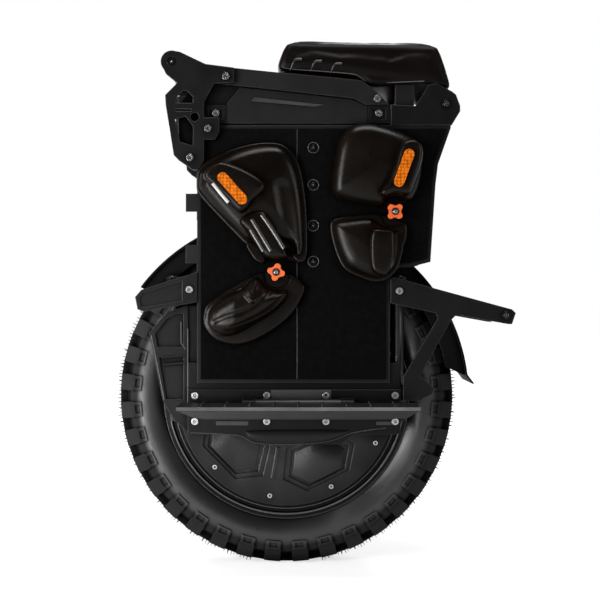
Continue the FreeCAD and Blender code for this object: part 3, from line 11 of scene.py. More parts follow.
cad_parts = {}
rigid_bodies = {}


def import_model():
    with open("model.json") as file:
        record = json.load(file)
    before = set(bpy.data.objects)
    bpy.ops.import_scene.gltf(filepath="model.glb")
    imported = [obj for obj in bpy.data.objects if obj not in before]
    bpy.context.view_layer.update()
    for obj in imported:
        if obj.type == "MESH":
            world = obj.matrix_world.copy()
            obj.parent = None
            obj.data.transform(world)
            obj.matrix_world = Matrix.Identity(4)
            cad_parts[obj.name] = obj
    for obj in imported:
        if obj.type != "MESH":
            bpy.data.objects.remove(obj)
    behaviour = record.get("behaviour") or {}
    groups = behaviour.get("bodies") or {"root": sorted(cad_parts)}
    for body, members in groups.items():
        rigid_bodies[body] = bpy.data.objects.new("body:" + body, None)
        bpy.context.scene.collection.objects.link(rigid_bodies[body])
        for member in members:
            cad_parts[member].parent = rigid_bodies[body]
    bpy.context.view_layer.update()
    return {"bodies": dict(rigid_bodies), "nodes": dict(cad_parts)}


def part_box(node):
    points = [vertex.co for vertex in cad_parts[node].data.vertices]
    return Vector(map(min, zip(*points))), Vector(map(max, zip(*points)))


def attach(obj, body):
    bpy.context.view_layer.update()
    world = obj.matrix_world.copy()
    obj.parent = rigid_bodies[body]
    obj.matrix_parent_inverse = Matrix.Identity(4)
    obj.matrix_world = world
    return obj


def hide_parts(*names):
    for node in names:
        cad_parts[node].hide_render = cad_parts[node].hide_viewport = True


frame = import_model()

# Camera, light and floor are in metres. Places and sizes of pieces are in millimetres, mostly as X and Z,
# with the distance from the middle plane given apart.

MM = 0.001
SIDES = ((-1, "_left"), (1, "_right"))
nodes = frame["nodes"]
scene = bpy.context.scene
WHEEL_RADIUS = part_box("tyre")[1][2] / 2
AXLE_Z = WHEEL_RADIUS / MM
AXLE = (0, AXLE_Z)


# Node helpers

def source(tree, kind, output):
    """An output of a new node that takes no input."""
    return tree.nodes.new(kind).outputs[output]


def math_node(tree, operation, first, second):
    """The result of an operation on two values."""
    node = tree.nodes.new("ShaderNodeMath")
    node.operation = operation
    tree.links.new(first, node.inputs[0])
    tree.links.new(second, node.inputs[1])
    return node.outputs["Value"]


def scaled(tree, vector, factor):
    """A colour or vector times a value."""
    node = tree.nodes.new("ShaderNodeVectorMath")
    node.operation = "SCALE"
    tree.links.new(vector, node.inputs[0])
    tree.links.new(factor, node.inputs["Scale"])
    return node.outputs["Vector"]


def length_of(tree, vector):
    """A vector's length."""
    node = tree.nodes.new("ShaderNodeVectorMath")
    node.operation = "LENGTH"
    tree.links.new(vector, node.inputs[0])
    return node.outputs["Value"]


def spread(tree, value, low, high, start=0.35, end=0.65):
    """A value's range from start to end stretched between two limits."""
    span = tree.nodes.new("ShaderNodeMapRange")
    span.inputs["From Min"].default_value = start
    span.inputs["From Max"].default_value = end
    span.inputs["To Min"].default_value = low
    span.inputs["To Max"].default_value = high
    tree.links.new(value, span.inputs["Value"])
    return span.outputs["Result"]


def noise(tree, coords, scale, detail, roughness=0.55):
    """A noise from 0 to 1 over coordinates."""
    node = tree.nodes.new("ShaderNodeTexNoise")
    node.inputs["Scale"].default_value = scale
    node.inputs["Detail"].default_value = detail
    node.inputs["Roughness"].default_value = roughness
    tree.links.new(coords, node.inputs["Vector"])
    return node.outputs["Fac"]


def seen_rays(tree):
    """1 on rays that show the background: from the camera, and off gloss or through glass."""
    rays = tree.nodes.new("ShaderNodeLightPath").outputs
    seen = rays["Is Camera Ray"]
    for output in ("Is Glossy Ray", "Is Transmission Ray"):
        seen = math_node(tree, "MAXIMUM", seen, rays[output])
    return seen


# Camera, light and floor

CAMERA_PLACE = (0.021, -1.9, 0.409)
CAMERA_LENS, CAMERA_SENSOR = 71.82, 36.0
WHITE = (1, 1, 1, 1)
ROOM_LIGHT = 0.22
ROOM_NEAR, ROOM_FAR = 0.12, 1.0
ROOM_START, ROOM_END = -0.25, 0.75
FLOOR_REACH = 12.0
FLOOR_GREY = (0.5, 0.5, 0.5, 1)
FLOOR_GLOW, FLOOR_GLOW_FAR = 0.62, 1.0
GLOW_START, GLOW_END = 0.5, 3.0
LIGHTS = (  # name, place, target, size, power
    ("key", (-1.5, -1.3, 0.62), (0, 0, 0.4), (0.7, 1.2), 56),
    ("low", (-0.65, -0.8, 0.08), (0, -0.1, 0.4), (0.4, 0.3), 8),
    ("sheen", (-0.44, -1.5, 0.2), (-0.05, -0.05, 0.25), (0.15, 0.15), 1.6),
    ("top", (0.1, -0.4, 2.3), (0, 0, 0.5), (1.5, 0.8), 38),
    ("fill", (1.8, -1.2, 0.9), (0, 0, 0.4), (0.6, 1.2), 15),
    ("back", (0.3, 1.9, 1.3), (0, 0, 0.4), (1.4, 1.2), 36),
)


def add_camera():
    camera = bpy.data.cameras.new("camera")
    camera.lens = CAMERA_LENS
    camera.sensor_width = CAMERA_SENSOR
    body = bpy.data.objects.new("camera", camera)
    body.location = CAMERA_PLACE
    body.rotation_euler = (math.pi / 2, 0, 0)
    scene.collection.objects.link(body)
    scene.camera = body


def add_area(name, place, target, size, power):
    light = bpy.data.lights.new(name, "AREA")
    light.shape = "RECTANGLE"
    light.size, light.size_y = size
    light.energy = power
    lamp = bpy.data.objects.new(name, light)
    lamp.location = place
    lamp.rotation_euler = (Vector(target) - Vector(place)).to_track_quat("-Z", "Y").to_euler()
    scene.collection.objects.link(lamp)


def add_world():
    """White where the background is seen, and a room that is darker on the photographer's side."""
    world = bpy.data.worlds.new("studio")
    world.use_nodes = True
    tree = world.node_tree
    facing = tree.nodes.new("ShaderNodeSeparateXYZ")
    tree.links.new(source(tree, "ShaderNodeTexCoord", "Generated"), facing.inputs[0])
    room = spread(tree, facing.outputs["Y"], ROOM_NEAR, ROOM_FAR, ROOM_START, ROOM_END)
    camera_rays = source(tree, "ShaderNodeLightPath", "Is Camera Ray")
    light = tree.nodes["Background"]
    light.inputs["Color"].default_value = WHITE
    light.inputs["Strength"].default_value = ROOM_LIGHT
    shown = tree.nodes.new("ShaderNodeBackground")
    shown.inputs["Color"].default_value = WHITE
    tree.links.new(math_node(tree, "MAXIMUM", camera_rays, room), shown.inputs["Strength"])
    mix = tree.nodes.new("ShaderNodeMixShader")
    tree.links.new(seen_rays(tree), mix.inputs[0])
    tree.links.new(light.outputs[0], mix.inputs[1])
    tree.links.new(shown.outputs[0], mix.inputs[2])
    tree.links.new(mix.outputs[0], tree.nodes["World Output"].inputs["Surface"])
    scene.world = world


def floor_material():
    """A grey floor that takes shadows, with a glow that turns it white away from the piece."""
    material = bpy.data.materials.new("floor")
    material.use_nodes = True
    tree = material.node_tree
    tree.nodes.remove(tree.nodes["Principled BSDF"])
    diffuse = tree.nodes.new("ShaderNodeBsdfDiffuse")
    diffuse.inputs["Color"].default_value = FLOOR_GREY
    away = length_of(tree, source(tree, "ShaderNodeNewGeometry", "Position"))
    level = spread(tree, away, FLOOR_GLOW, FLOOR_GLOW_FAR, GLOW_START, GLOW_END)
    glow = tree.nodes.new("ShaderNodeEmission")
    glow.inputs["Color"].default_value = WHITE
    tree.links.new(math_node(tree, "MULTIPLY", level, seen_rays(tree)), glow.inputs["Strength"])
    add = tree.nodes.new("ShaderNodeAddShader")
    tree.links.new(diffuse.outputs[0], add.inputs[0])
    tree.links.new(glow.outputs[0], add.inputs[1])
    tree.links.new(add.outputs[0], tree.nodes["Material Output"].inputs["Surface"])
    return material


def add_floor():
    mesh = bpy.data.meshes.new("floor")
    corners = [(x * FLOOR_REACH, y * FLOOR_REACH, 0) for x, y in ((-1, -1), (1, -1), (1, 1), (-1, 1))]
    mesh.from_pydata(corners, [], [(0, 1, 2, 3)])
    mesh.materials.append(floor_material())
    floor = bpy.data.objects.new("floor", mesh)
    scene.collection.objects.link(floor)


scene.view_settings.view_transform = "Standard"
add_camera()
add_world()
add_floor()
for light in LIGHTS:
    add_area(*light)


# Materials

NODE_SAMPLES = 6
GRAIN_DEPTH = 0.4


def srgb(*color):
    """A colour as a screen gives it, 0 to 255, in linear light."""
    shares = [c / 255 for c in color]
    return tuple(c / 12.92 if c <= 0.04045 else ((c + 0.055) / 1.055) ** 2.4 for c in shares)


def patchy_color(tree, coords, color, scale, change):
    """A colour with slow patches that are darker and paler by a share."""
    ramp = tree.nodes.new("ShaderNodeValToRGB")
    for element, position, share in zip(ramp.color_ramp.elements, (0.3, 0.7), (1 - change, 1 + change)):
        element.position = position
        element.color = (*[c * share for c in color], 1)
    tree.links.new(noise(tree, coords, scale, 5.0), ramp.inputs["Fac"])
    return ramp.outputs["Color"]


def painted_corner_shade(tree, crevice_shade, reach):
    """Painted shade: 1 in the open, falling to the darkness given for corners, where shade falls."""
    corners = tree.nodes.new("ShaderNodeAmbientOcclusion")
    corners.samples = NODE_SAMPLES
    corners.inputs["Distance"].default_value = reach * MM
    return spread(tree, corners.outputs["AO"], crevice_shade, 1.0, 0.35, 0.95)


def round_normal(tree, radius):
    """The normal of a surface whose edges are rounded."""
    bevel = tree.nodes.new("ShaderNodeBevel")
    bevel.samples = NODE_SAMPLES
    bevel.inputs["Radius"].default_value = radius * MM
    return bevel.outputs["Normal"]


def painted_edge_highlight(tree, rounded, gain):
    """Painted highlight on edges: 1 on flat parts, rising to the gain where a rounded normal turns away from the
    face.
    """
    turned = tree.nodes.new("ShaderNodeVectorMath")
    turned.operation = "DOT_PRODUCT"
    tree.links.new(rounded, turned.inputs[0])
    tree.links.new(source(tree, "ShaderNodeNewGeometry", "Normal"), turned.inputs[1])
    return spread(tree, turned.outputs["Value"], gain, 1.0, 0.75, 0.99)


def bump(tree, height, depth, strength=1.0, normal=None):
    """A normal bent by a height, on top of another one if given."""
    node = tree.nodes.new("ShaderNodeBump")
    node.inputs["Strength"].default_value = strength
    node.inputs["Distance"].default_value = depth * MM
    tree.links.new(height, node.inputs["Height"])
    if normal:
        tree.links.new(normal, node.inputs["Normal"])
    return node.outputs["Normal"]


def surface(name, color, rough, metal=0.0, specular=0.3, tone=(35, 0.12), grain=(900, 0.12), edge=0.7,
            rough_spread=0.05, edge_highlight_gain=2.2, crevice_shade=0.35, reach=14.0, swell=(12, 0.0)):
    """A material with patches of tone and gloss, a fine grain, a slow swell, painted highlights on its edges and
    painted shade in its corners.

    tone, grain and swell each hold a scale and an amount.
    """
    material = bpy.data.materials.new(name)
    material.use_nodes = True
    tree = material.node_tree
    shader = tree.nodes["Principled BSDF"]
    shader.inputs["Metallic"].default_value = metal
    coords = source(tree, "ShaderNodeTexCoord", "Object")
    smudges = noise(tree, coords, tone[0] * 0.6, 6.0, 0.65)
    # Painted shade: corners darken the colour and dim the gloss.
    shade = painted_corner_shade(tree, crevice_shade, reach)
    links = {"Roughness": spread(tree, smudges, rough - rough_spread, rough + rough_spread),
             "Specular IOR Level": spread(tree, shade, 0.0, specular, 0.0, 1.0)}
    rounded = round_normal(tree, edge) if edge else None
    # Painted highlight: near edges the colour is lightened by the gain.
    if edge:
        shade = math_node(tree, "MULTIPLY", painted_edge_highlight(tree, rounded, edge_highlight_gain), shade)
    swollen = bump(tree, noise(tree, coords, swell[0], 1.0), swell[1], normal=rounded)
    links["Normal"] = bump(tree, noise(tree, coords, grain[0], 2.0), GRAIN_DEPTH, grain[1], swollen)
    links["Base Color"] = scaled(tree, patchy_color(tree, coords, color, *tone), shade)
    for socket, output in links.items():
        tree.links.new(output, shader.inputs[socket])
    return material


def add_cells(material, scale, dark):
    """Small cells with darker walls over a material's colour."""
    tree = material.node_tree
    base = tree.nodes["Principled BSDF"].inputs["Base Color"]
    cells = tree.nodes.new("ShaderNodeTexVoronoi")
    cells.inputs["Scale"].default_value = scale
    cells.inputs["Randomness"].default_value = 0.35
    tree.links.new(source(tree, "ShaderNodeTexCoord", "Object"), cells.inputs["Vector"])
    walls = spread(tree, cells.outputs["Distance"], 1.0, dark, 0.3, 0.62)
    tree.links.new(scaled(tree, base.links[0].from_socket, walls), base)


def dull_beyond(material, edge, soft, share, rough):
    """Cuts the gloss of a wheel's material to a share and adds roughness, outside a radius about the axle."""
    tree = material.node_tree
    shader = tree.nodes["Principled BSDF"]
    spoke = tree.nodes.new("ShaderNodeVectorMath")
    spoke.operation = "MULTIPLY_ADD"
    spoke.inputs[1].default_value = (1, 0, 1)
    spoke.inputs[2].default_value = (0, 0, -WHEEL_RADIUS)
    tree.links.new(source(tree, "ShaderNodeTexCoord", "Object"), spoke.inputs[0])
    away = length_of(tree, spoke.outputs["Vector"])
    for socket, operation, low, high in (("Specular IOR Level", "MULTIPLY", 1.0, share),
                                         ("Roughness", "ADD", 0.0, rough)):
        change = spread(tree, away, low, high, (edge - soft) * MM, (edge + soft) * MM)
        before = shader.inputs[socket].links[0].from_socket
        tree.links.new(math_node(tree, operation, before, change), shader.inputs[socket])


def paint(material, *names):
    """Gives CAD nodes a material."""
    for name in names:
        mesh = nodes[name].data
        mesh.materials.clear()
        mesh.materials.append(material)


# The edge gain lightens each material's edges as a painted highlight, and the darkness given for corners is
# painted shade.
charcoal = surface("charcoal_plastic", srgb(17, 16, 16), 0.42, specular=0.13, grain=(700, 0.22), edge=1.3,
                   edge_highlight_gain=8.0)
alloy = surface("black_alloy", srgb(9, 8, 9), 0.34, specular=0.14, grain=(1100, 0.14), edge=1.0,
                edge_highlight_gain=4.5)
frame_black = surface("frame_black", srgb(7, 6, 7), 0.4, specular=0.13, grain=(700, 0.2), edge=1.6,
                      edge_highlight_gain=26.0, crevice_shade=0.1)
guard_black = surface("guard_black", srgb(8, 7, 8), 0.6, specular=0.04, grain=(700, 0.2), edge=1.5,
                      edge_highlight_gain=10.0, crevice_shade=0.1)
pitch = surface("pitch_black", srgb(6, 5, 6), 0.36, specular=0.12, grain=(1100, 0.14), edge=1.4,
                edge_highlight_gain=22.0)
pedal_grey = surface("pedal_grey", srgb(19, 18, 18), 0.36, specular=0.26, grain=(1100, 0.2), edge=1.2)
# A paler copy of the pedal grey for the pedal's upper face: painted highlight.
pedal_lit_grey = surface("pedal_lit_grey", srgb(23, 22, 22), 0.36, tone=(25, 0.3), edge=0.6)
grip = surface("grip_cloth", srgb(4, 4, 4), 0.92, specular=0.03, tone=(120, 0.5), grain=(1600, 0.9), edge=0)
rubber = surface("tyre_rubber", srgb(10, 9, 10), 0.32, specular=0.55, tone=(18, 0.25), grain=(500, 0.3),
                 edge=1.4, edge_highlight_gain=5.0, crevice_shade=0.08, reach=26.0, swell=(9, 3.0))
dull_beyond(rubber, edge=229, soft=4, share=0.34, rough=0.4)
motor = surface("motor_grey", srgb(12, 11, 12), 0.26, specular=0.36, grain=(900, 0.16), edge=1.5,
                edge_highlight_gain=14.0, crevice_shade=0.08, reach=45.0, swell=(14, 7.0))
dull_beyond(motor, edge=135, soft=30, share=0.4, rough=0.1)
rim_black = surface("rim_black", srgb(3, 3, 3), 0.26, specular=0.12, grain=(900, 0.08), edge=1.0,
                    edge_highlight_gain=5.0, crevice_shade=0.15)
steel = surface("bright_steel", srgb(160, 159, 156), 0.26, metal=1.0, grain=(1500, 0.08), edge=0.5,
                edge_highlight_gain=1.2)
dark_steel = surface("dark_steel", srgb(10, 10, 10), 0.30, specular=0.35, grain=(1300, 0.1), edge=0.6,
                     edge_highlight_gain=4.0)
pad_skin = surface("pad_skin", srgb(8, 5, 3), 0.25, specular=0.11, tone=(22, 0.25), grain=(900, 0.4), edge=0,
                   rough_spread=0.08)
seat_skin = surface("seat_skin", srgb(7, 5, 4), 0.36, specular=0.05, tone=(14, 0.15), grain=(800, 0.2), edge=0)
knob_orange = surface("knob_orange", srgb(186, 80, 33), 0.38, specular=0.4, tone=(60, 0.08), edge=0.8,
                      edge_highlight_gain=1.3)
reflector = surface("reflector_orange", srgb(184, 92, 8), 0.22, tone=(60, 0.08), edge=0.4, edge_highlight_gain=1.2)
add_cells(reflector, scale=200, dark=0.4)
# A pale grey that stands in for light caught on a chamfer: painted highlight.
painted_highlight_pale = surface("painted_highlight_pale", srgb(150, 148, 146), 0.22, specular=0.5, edge=0.4, edge_highlight_gain=1.2)
rib_gloss = surface("rib_gloss", srgb(52, 50, 48), 0.16, specular=0.5, tone=(30, 0.15), grain=(700, 0.1), edge=0)
# This grey is also used for the painted highlight bars above the seat's hooks.
strip_grey = surface("strip_grey", srgb(58, 55, 58), 0.25, specular=0.5, edge=0.4)
# This grey is also used for the painted highlight bars on the hanger and the leg covers.
strip_dim = surface("strip_dim", srgb(44, 42, 43), 0.3, tone=(20, 0.35), edge=0.4)
clear = surface("lens_clear", srgb(190, 195, 200), 0.12, specular=0.6, edge=0.6, edge_highlight_gain=1.2)
red_lens = surface("lens_red", srgb(150, 20, 18), 0.2, specular=0.5, edge=0.5, edge_highlight_gain=1.4)
screen = surface("screen_black", srgb(10, 10, 14), 0.1, specular=0.5, edge=0.4)
copper = surface("stator_copper", srgb(150, 96, 60), 0.4, metal=1.0, edge=0.3, edge_highlight_gain=1.2)

paint(rubber, "tyre")
paint(rim_black, "rim", "panel_bolts")
paint(motor, "motor_cover_left", "motor_cover_right")
paint(steel, "motor_cover_screws", "valve_stem", "frame_screws", "strut_shafts", "axle", "wheel_bearings",
      "magnet_ring", "axle_nuts", "pedal_hinge_pins")
paint(copper, "stator")
paint(dark_steel, "guide_tubes", "strut_bodies")
paint(alloy, "axle_carriers", "main_frame", "corner_plates", "cross_bars", "controller")
paint(pitch, "hanger_left", "hanger_right")
paint(pedal_grey, "pedal_left", "pedal_right")
paint(frame_black, "front_brackets", "rear_brackets", "rear_stands", "bumper_arms", "leg_covers")
paint(guard_black, "front_fender", "rear_mudguard")
paint(charcoal, "side_panel_left", "side_panel_right", "upper_covers", "top_rails", "headlight_housing",
      "top_cover", "seat_base", "battery_packs", "power_button", "pad_frames")
paint(grip, "grip_sheets")
paint(strip_dim, "light_strips")
paint(screen, "display")
paint(clear, "headlight_lens")
paint(red_lens, "tail_light")
paint(pad_skin, "front_upper_pads", "rear_upper_pads", "front_lower_pad_left", "front_lower_pad_right",
      "rear_lower_pad_left", "rear_lower_pad_right")
paint(seat_skin, "seat_cushion")
paint(reflector, "reflectors")
paint(knob_orange, "front_knob_left", "front_knob_right", "rear_knob_left", "rear_knob_right")

# New pieces

def dress(piece, body, material):
    """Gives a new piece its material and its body."""
    piece.data.materials.clear()
    piece.data.materials.append(material)
    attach(piece, body)


def add_piece(name, mesh, body, material):
    """A new piece in the scene."""
    piece = bpy.data.objects.new(name, mesh)
    scene.collection.objects.link(piece)
    dress(piece, body, material)
    return piece


def both_sides(name, make, body, material):
    """The same piece on the left and the right side, each on its side's own body if there is one."""
    made = []
    for side, word in SIDES:
        own_body = body + word if body + word in frame["bodies"] else body
        made.append(add_piece(name + word, make(side), own_body, material))
    return made


def finished_mesh(name, bm, sharp=None):
    """The mesh of a bmesh with its faces turned outwards, smooth up to a sharp angle if given."""
    bmesh.ops.recalc_face_normals(bm, faces=bm.faces)
    mesh = bpy.data.meshes.new(name)
    bm.to_mesh(mesh)
    bm.free()
    if sharp:
        mesh.shade_smooth()
        mesh.set_sharp_from_angle(angle=math.radians(sharp))
    return mesh


def close_rings(bm, rings):
    """Faces between each ring of points and the next, and one over each end."""
    for near, far in zip(rings, rings[1:]):
        for i in range(len(near)):
            j = (i + 1) % len(near)
            bm.faces.new((near[i], near[j], far[j], far[i]))
    bm.faces.new(rings[0])
    bm.faces.new(rings[-1])


def ring_at(bm, outline, depth):
    """New points along an outline, at a distance from the middle plane."""
    return [bm.verts.new((x * MM, depth * MM, z * MM)) for x, z in outline]


def rectangle(x0, x1, z0, z1):
    return [(x0, z0), (x1, z0), (x1, z1), (x0, z1)]


def circle(place, radius, count, start=0.0):
    """Points evenly round a place, from an angle in degrees."""
    turns = [math.radians(start) + 2 * math.pi * i / count for i in range(count)]
    return [(place[0] + radius * math.cos(a), place[1] + radius * math.sin(a)) for a in turns]


def capsule(x, z, length, width, angle, sides=10):
    """The outline of a bar with round ends, turned about its middle."""
    turn, spots = math.radians(angle), []
    for i in range(2 * sides + 2):
        bend = math.pi * ((i % (sides + 1)) / sides - 0.5 + (i > sides))
        a = (length - width) / 2 * (-1 if i > sides else 1) + width / 2 * math.cos(bend)
        b = width / 2 * math.sin(bend)
        spots.append((x + a * math.cos(turn) - b * math.sin(turn), z + a * math.sin(turn) + b * math.cos(turn)))
    return spots


def tube_mesh(name, lines, radius, closed=False, smooth=True):
    """Round bars along lines of points, as one mesh."""
    curve = bpy.data.curves.new(name, "CURVE")
    curve.dimensions = "3D"
    curve.bevel_depth = radius * MM
    curve.bevel_resolution = 3
    curve.use_fill_caps = True
    for line in lines:
        spline = curve.splines.new("NURBS" if smooth else "POLY")
        spline.points.add(len(line) - 1)
        for point, place in zip(spline.points, line):
            point.co = (*[c * MM for c in place], 1)
        spline.use_cyclic_u = closed
        if smooth:
            spline.order_u = 3
            spline.use_endpoint_u = not closed
            spline.resolution_u = 8
    holder = bpy.data.objects.new(name, curve)
    mesh = bpy.data.meshes.new_from_object(holder)
    bpy.data.objects.remove(holder)
    bpy.data.curves.remove(curve)
    mesh.shade_smooth()
    return mesh


def tubes(name, lines, body, material, depth, radius, closed=False, smooth=True):
    """Round bars along lines in X and Z, at a distance from the middle, on both sides."""
    def make(side):
        places = [[(x, side * depth, z) for x, z in line] for line in lines]
        return tube_mesh(name, places, radius, closed, smooth)
    return both_sides(name, make, body, material)


def discs(name, places, body, material, radius, near, far, bevel=0.4, sides=24):
    """Round heads with a bevelled edge, on both sides."""
    def make(side):
        bm = bmesh.new()
        for place in places:
            close_rings(bm, [ring_at(bm, circle(place, r, sides), side * depth) for r, depth in (
                (radius, near), (radius, far - bevel), (radius - bevel, far))])
        return finished_mesh(name, bm, sharp=40)
    return both_sides(name, make, body, material)


def plates(name, outlines, body, material, near, far):
    """Flat plates with outlines in X and Z, on both sides."""
    def make(side):
        bm = bmesh.new()
        for outline in outlines:
            close_rings(bm, [ring_at(bm, outline, side * depth) for depth in (near, far)])
        return finished_mesh(name, bm)
    return both_sides(name, make, body, material)


# Relief forms: an outline in X and Z, raised in layers away from the side panel

PAD_FOOT = 100.8
EDGE_INSETS = (0.4, 1.2, 2.6)
ROW_SHARE, OUTLINE_CLEAR, LAYER_CLEAR = 0.87, 0.6, 0.3  # shares of a relief's spacing
LAYER_START = 0.1
FAR_OFF = 1e9
TINY = 1e-12


def cut_corners(ring):
    """A loop with each corner cut a little, three times over."""
    for _ in range(3):
        ahead = np.roll(ring, -1, axis=0)
        ring = np.stack([ring * 0.8 + ahead * 0.2, ring * 0.2 + ahead * 0.8], axis=1).reshape(-1, 2)
    return ring


def curve_through(ring):
    """A smooth loop through the points, as a Catmull-Rom spline."""
    a, b, c, d = (np.roll(ring, n, axis=0)[:, None, :] for n in (1, 0, -1, -2))
    steps = np.linspace(0, 1, 12, endpoint=False)[None, :, None]
    curve = 0.5 * (2 * b + (c - a) * steps + (2 * a - 5 * b + 4 * c - d) * steps ** 2
                   + (3 * b - a - 3 * c + d) * steps ** 3)
    return curve.reshape(-1, 2)


def smooth_loop(points, spacing, corner=False):
    """A closed outline along the points, resampled evenly; corners stay where asked."""
    ring = np.array(points, float)
    ring = cut_corners(ring) if corner else curve_through(ring)
    closed = np.vstack([ring, ring[:1]])
    along = np.concatenate([[0], np.cumsum(np.linalg.norm(np.diff(closed, axis=0), axis=1))])
    count = max(12, int(along[-1] / spacing))
    places = np.linspace(0, along[-1], count, endpoint=False)
    ring = np.stack([np.interp(places, along, closed[:, i]) for i in (0, 1)], axis=1)
    area = np.sum(ring[:, 0] * np.roll(ring[:, 1], -1) - ring[:, 1] * np.roll(ring[:, 0], -1))
    return ring if area > 0 else ring[::-1]


def inner_loop(ring, inset):
    """The loop moved inwards."""
    along = np.roll(ring, -1, axis=0) - np.roll(ring, 1, axis=0)
    along /= np.linalg.norm(along, axis=1)[:, None]
    return ring + np.stack([-along[:, 1], along[:, 0]], axis=1) * inset


def depth_inside(points, ring):
    """Distance to the loop, positive inside."""
    start, end = ring, np.roll(ring, -1, axis=0)
    run = end - start
    best = np.full(len(points), FAR_OFF)
    inside = np.zeros(len(points), bool)
    for (sx, sz), (rx, rz), ez in zip(start, run, end[:, 1]):
        px, pz = points[:, 0] - sx, points[:, 1] - sz
        share = np.clip((px * rx + pz * rz) / (rx * rx + rz * rz + TINY), 0, 1)
        best = np.minimum(best, np.hypot(px - share * rx, pz - share * rz))
        crosses = (sz > points[:, 1]) != (ez > points[:, 1])
        if crosses.any():
            at = sx + (points[:, 1] - sz) * rx / (rz if abs(rz) > TINY else TINY)
            inside ^= crosses & (points[:, 0] < at)
    return np.where(inside, best, -best)


def layer(points, foot, top, round_off, crown=0.0, reach=20.0, tilt=(0, 0), corner=False):
    """One layer of a relief: it rises from foot to top over round_off, and swells by crown over reach."""
    return dict(points=points, foot=foot, top=top, round_off=round_off, crown=crown, reach=reach, tilt=tilt,
                corner=corner)


def layer_height(form, spots, depth):
    """How far a layer stands out at places that lie so deep inside its outline."""
    share = np.clip(depth / form["round_off"], 0, 1)
    height = form["foot"] + (form["top"] - form["foot"]) * np.sqrt(1 - (1 - share) ** 2)
    height += form["crown"] * (1 - np.exp(-np.maximum(depth, 0) / form["reach"]))
    middle = np.mean(form["points"], axis=0)
    lean = (spots - middle) @ np.array(form["tilt"], float)
    return height + lean * share


def relief_plan(forms, rings, spacing):
    """The points of a relief in X and Z, and the faces between them."""
    spots, edges = [], []

    def add_ring(ring):
        first, count = len(spots), len(ring)
        spots.extend(ring.tolist())
        edges.extend((first + i, first + (i + 1) % count) for i in range(count))

    for form, ring in zip(forms, rings):
        add_ring(ring)
        for inset in EDGE_INSETS:
            if inset < form["round_off"] + 1.0:
                add_ring(inner_loop(ring, inset))
    low, high = rings[0].min(0), rings[0].max(0)
    columns = np.arange(low[0], high[0], spacing)
    rows = np.arange(low[1], high[1], spacing * ROW_SHARE)
    grid = np.array([(x + (spacing / 2 if j % 2 else 0), z) for j, z in enumerate(rows) for x in columns])
    free = depth_inside(grid, rings[0]) > spacing * OUTLINE_CLEAR
    for ring in rings[1:]:
        free &= np.abs(depth_inside(grid, ring)) > spacing * LAYER_CLEAR
    spots.extend(grid[free].tolist())
    flat, _, faces, _, _, _ = delaunay_2d_cdt([Vector(p) for p in spots], edges, [], 1, 1e-4, False)
    return np.array([tuple(v) for v in flat]), faces


def relief_height(forms, rings, flat):
    """How far each point stands out: the first layer is the outline's, the others stand on it."""
    height = layer_height(forms[0], flat, depth_inside(flat, rings[0]))
    for form, ring in zip(forms[1:], rings[1:]):
        depth = depth_inside(flat, ring)
        height = np.where(depth > LAYER_START, np.maximum(height, layer_height(form, flat, depth)), height)
    return height


def relief(name, forms, body, material, spacing, back=0.0, shape=None):
    """Solids raised from both side panels in layers, with a skirt down to a flat back."""
    rings = [smooth_loop(form["points"], spacing, form["corner"]) for form in forms]
    flat, faces = relief_plan(forms, rings, spacing)
    height = relief_height(forms, rings, flat)
    if shape:
        height = shape(flat, height)

    def make(side):
        bm = bmesh.new()
        top = [bm.verts.new((x * MM, side * (PAD_FOOT + h) * MM, z * MM)) for (x, z), h in zip(flat, height)]
        for face in faces:
            bm.faces.new([top[i] for i in (face if side < 0 else face[::-1])])
        skirt = bmesh.ops.extrude_edge_only(bm, edges=[e for e in bm.edges if e.is_boundary])
        for vert in skirt["geom"]:
            if isinstance(vert, bmesh.types.BMVert):
                vert.co.y = side * (PAD_FOOT + back) * MM
        bmesh.ops.contextual_create(bm, geom=[e for e in bm.edges if e.is_boundary])
        return finished_mesh(name, bm, sharp=42)
    return both_sides(name, make, body, material)


def raise_bar(flat, height, line, width, rise):
    """Adds a rounded bar, or a groove, along a line of points to a height."""
    away = np.full(len(flat), FAR_OFF)
    for start, end in zip(line, line[1:]):
        a, run = np.array(start, float), np.subtract(end, start).astype(float)
        share = np.clip((flat - a) @ run / (run @ run), 0, 1)
        away = np.minimum(away, np.linalg.norm(flat - a - share[:, None] * run, axis=1))
    return height + rise * np.clip(1 - (away / width) ** 2, 0, 1) ** 2


# Leg pads

front_upper_outline = [
    (-134, 586), (-133, 600), (-124, 613), (-103, 625), (-80, 635), (-55, 642), (-30, 645), (-9, 643), (7, 633),
    (18, 616), (25, 591), (30, 554), (32, 518), (32, 481), (26, 466), (14, 468), (4, 484), (-12, 492), (-28, 486),
    (-46, 484), (-62, 494), (-75, 507), (-101, 534), (-124, 559), (-133, 572)]
front_dome = [
    (-130, 586), (-128, 599), (-119, 609), (-100, 620), (-78, 630), (-54, 637), (-30, 640), (-11, 638), (2, 629),
    (12, 613), (19, 590), (24, 556), (26, 520), (26, 488), (22, 475), (15, 477), (7, 491), (-12, 501), (-40, 500),
    (-58, 500), (-73, 512), (-98, 537), (-121, 562), (-129, 574)]
front_block = [
    (-122, 590), (-116, 604), (-102, 612), (-90, 613), (-61, 602), (-36, 587), (-29, 577), (-33, 568), (-47, 556),
    (-58, 542), (-69, 538), (-88, 556), (-110, 577)]
front_arm = [
    (-69, 525), (-54, 539), (-34, 541), (-20, 527), (-2, 489), (3, 473), (-8, 470), (-27, 471), (-38, 482),
    (-54, 507)]
front_ledge = [(-62, 492), (-50, 499), (-30, 474), (-33, 463), (-46, 467)]
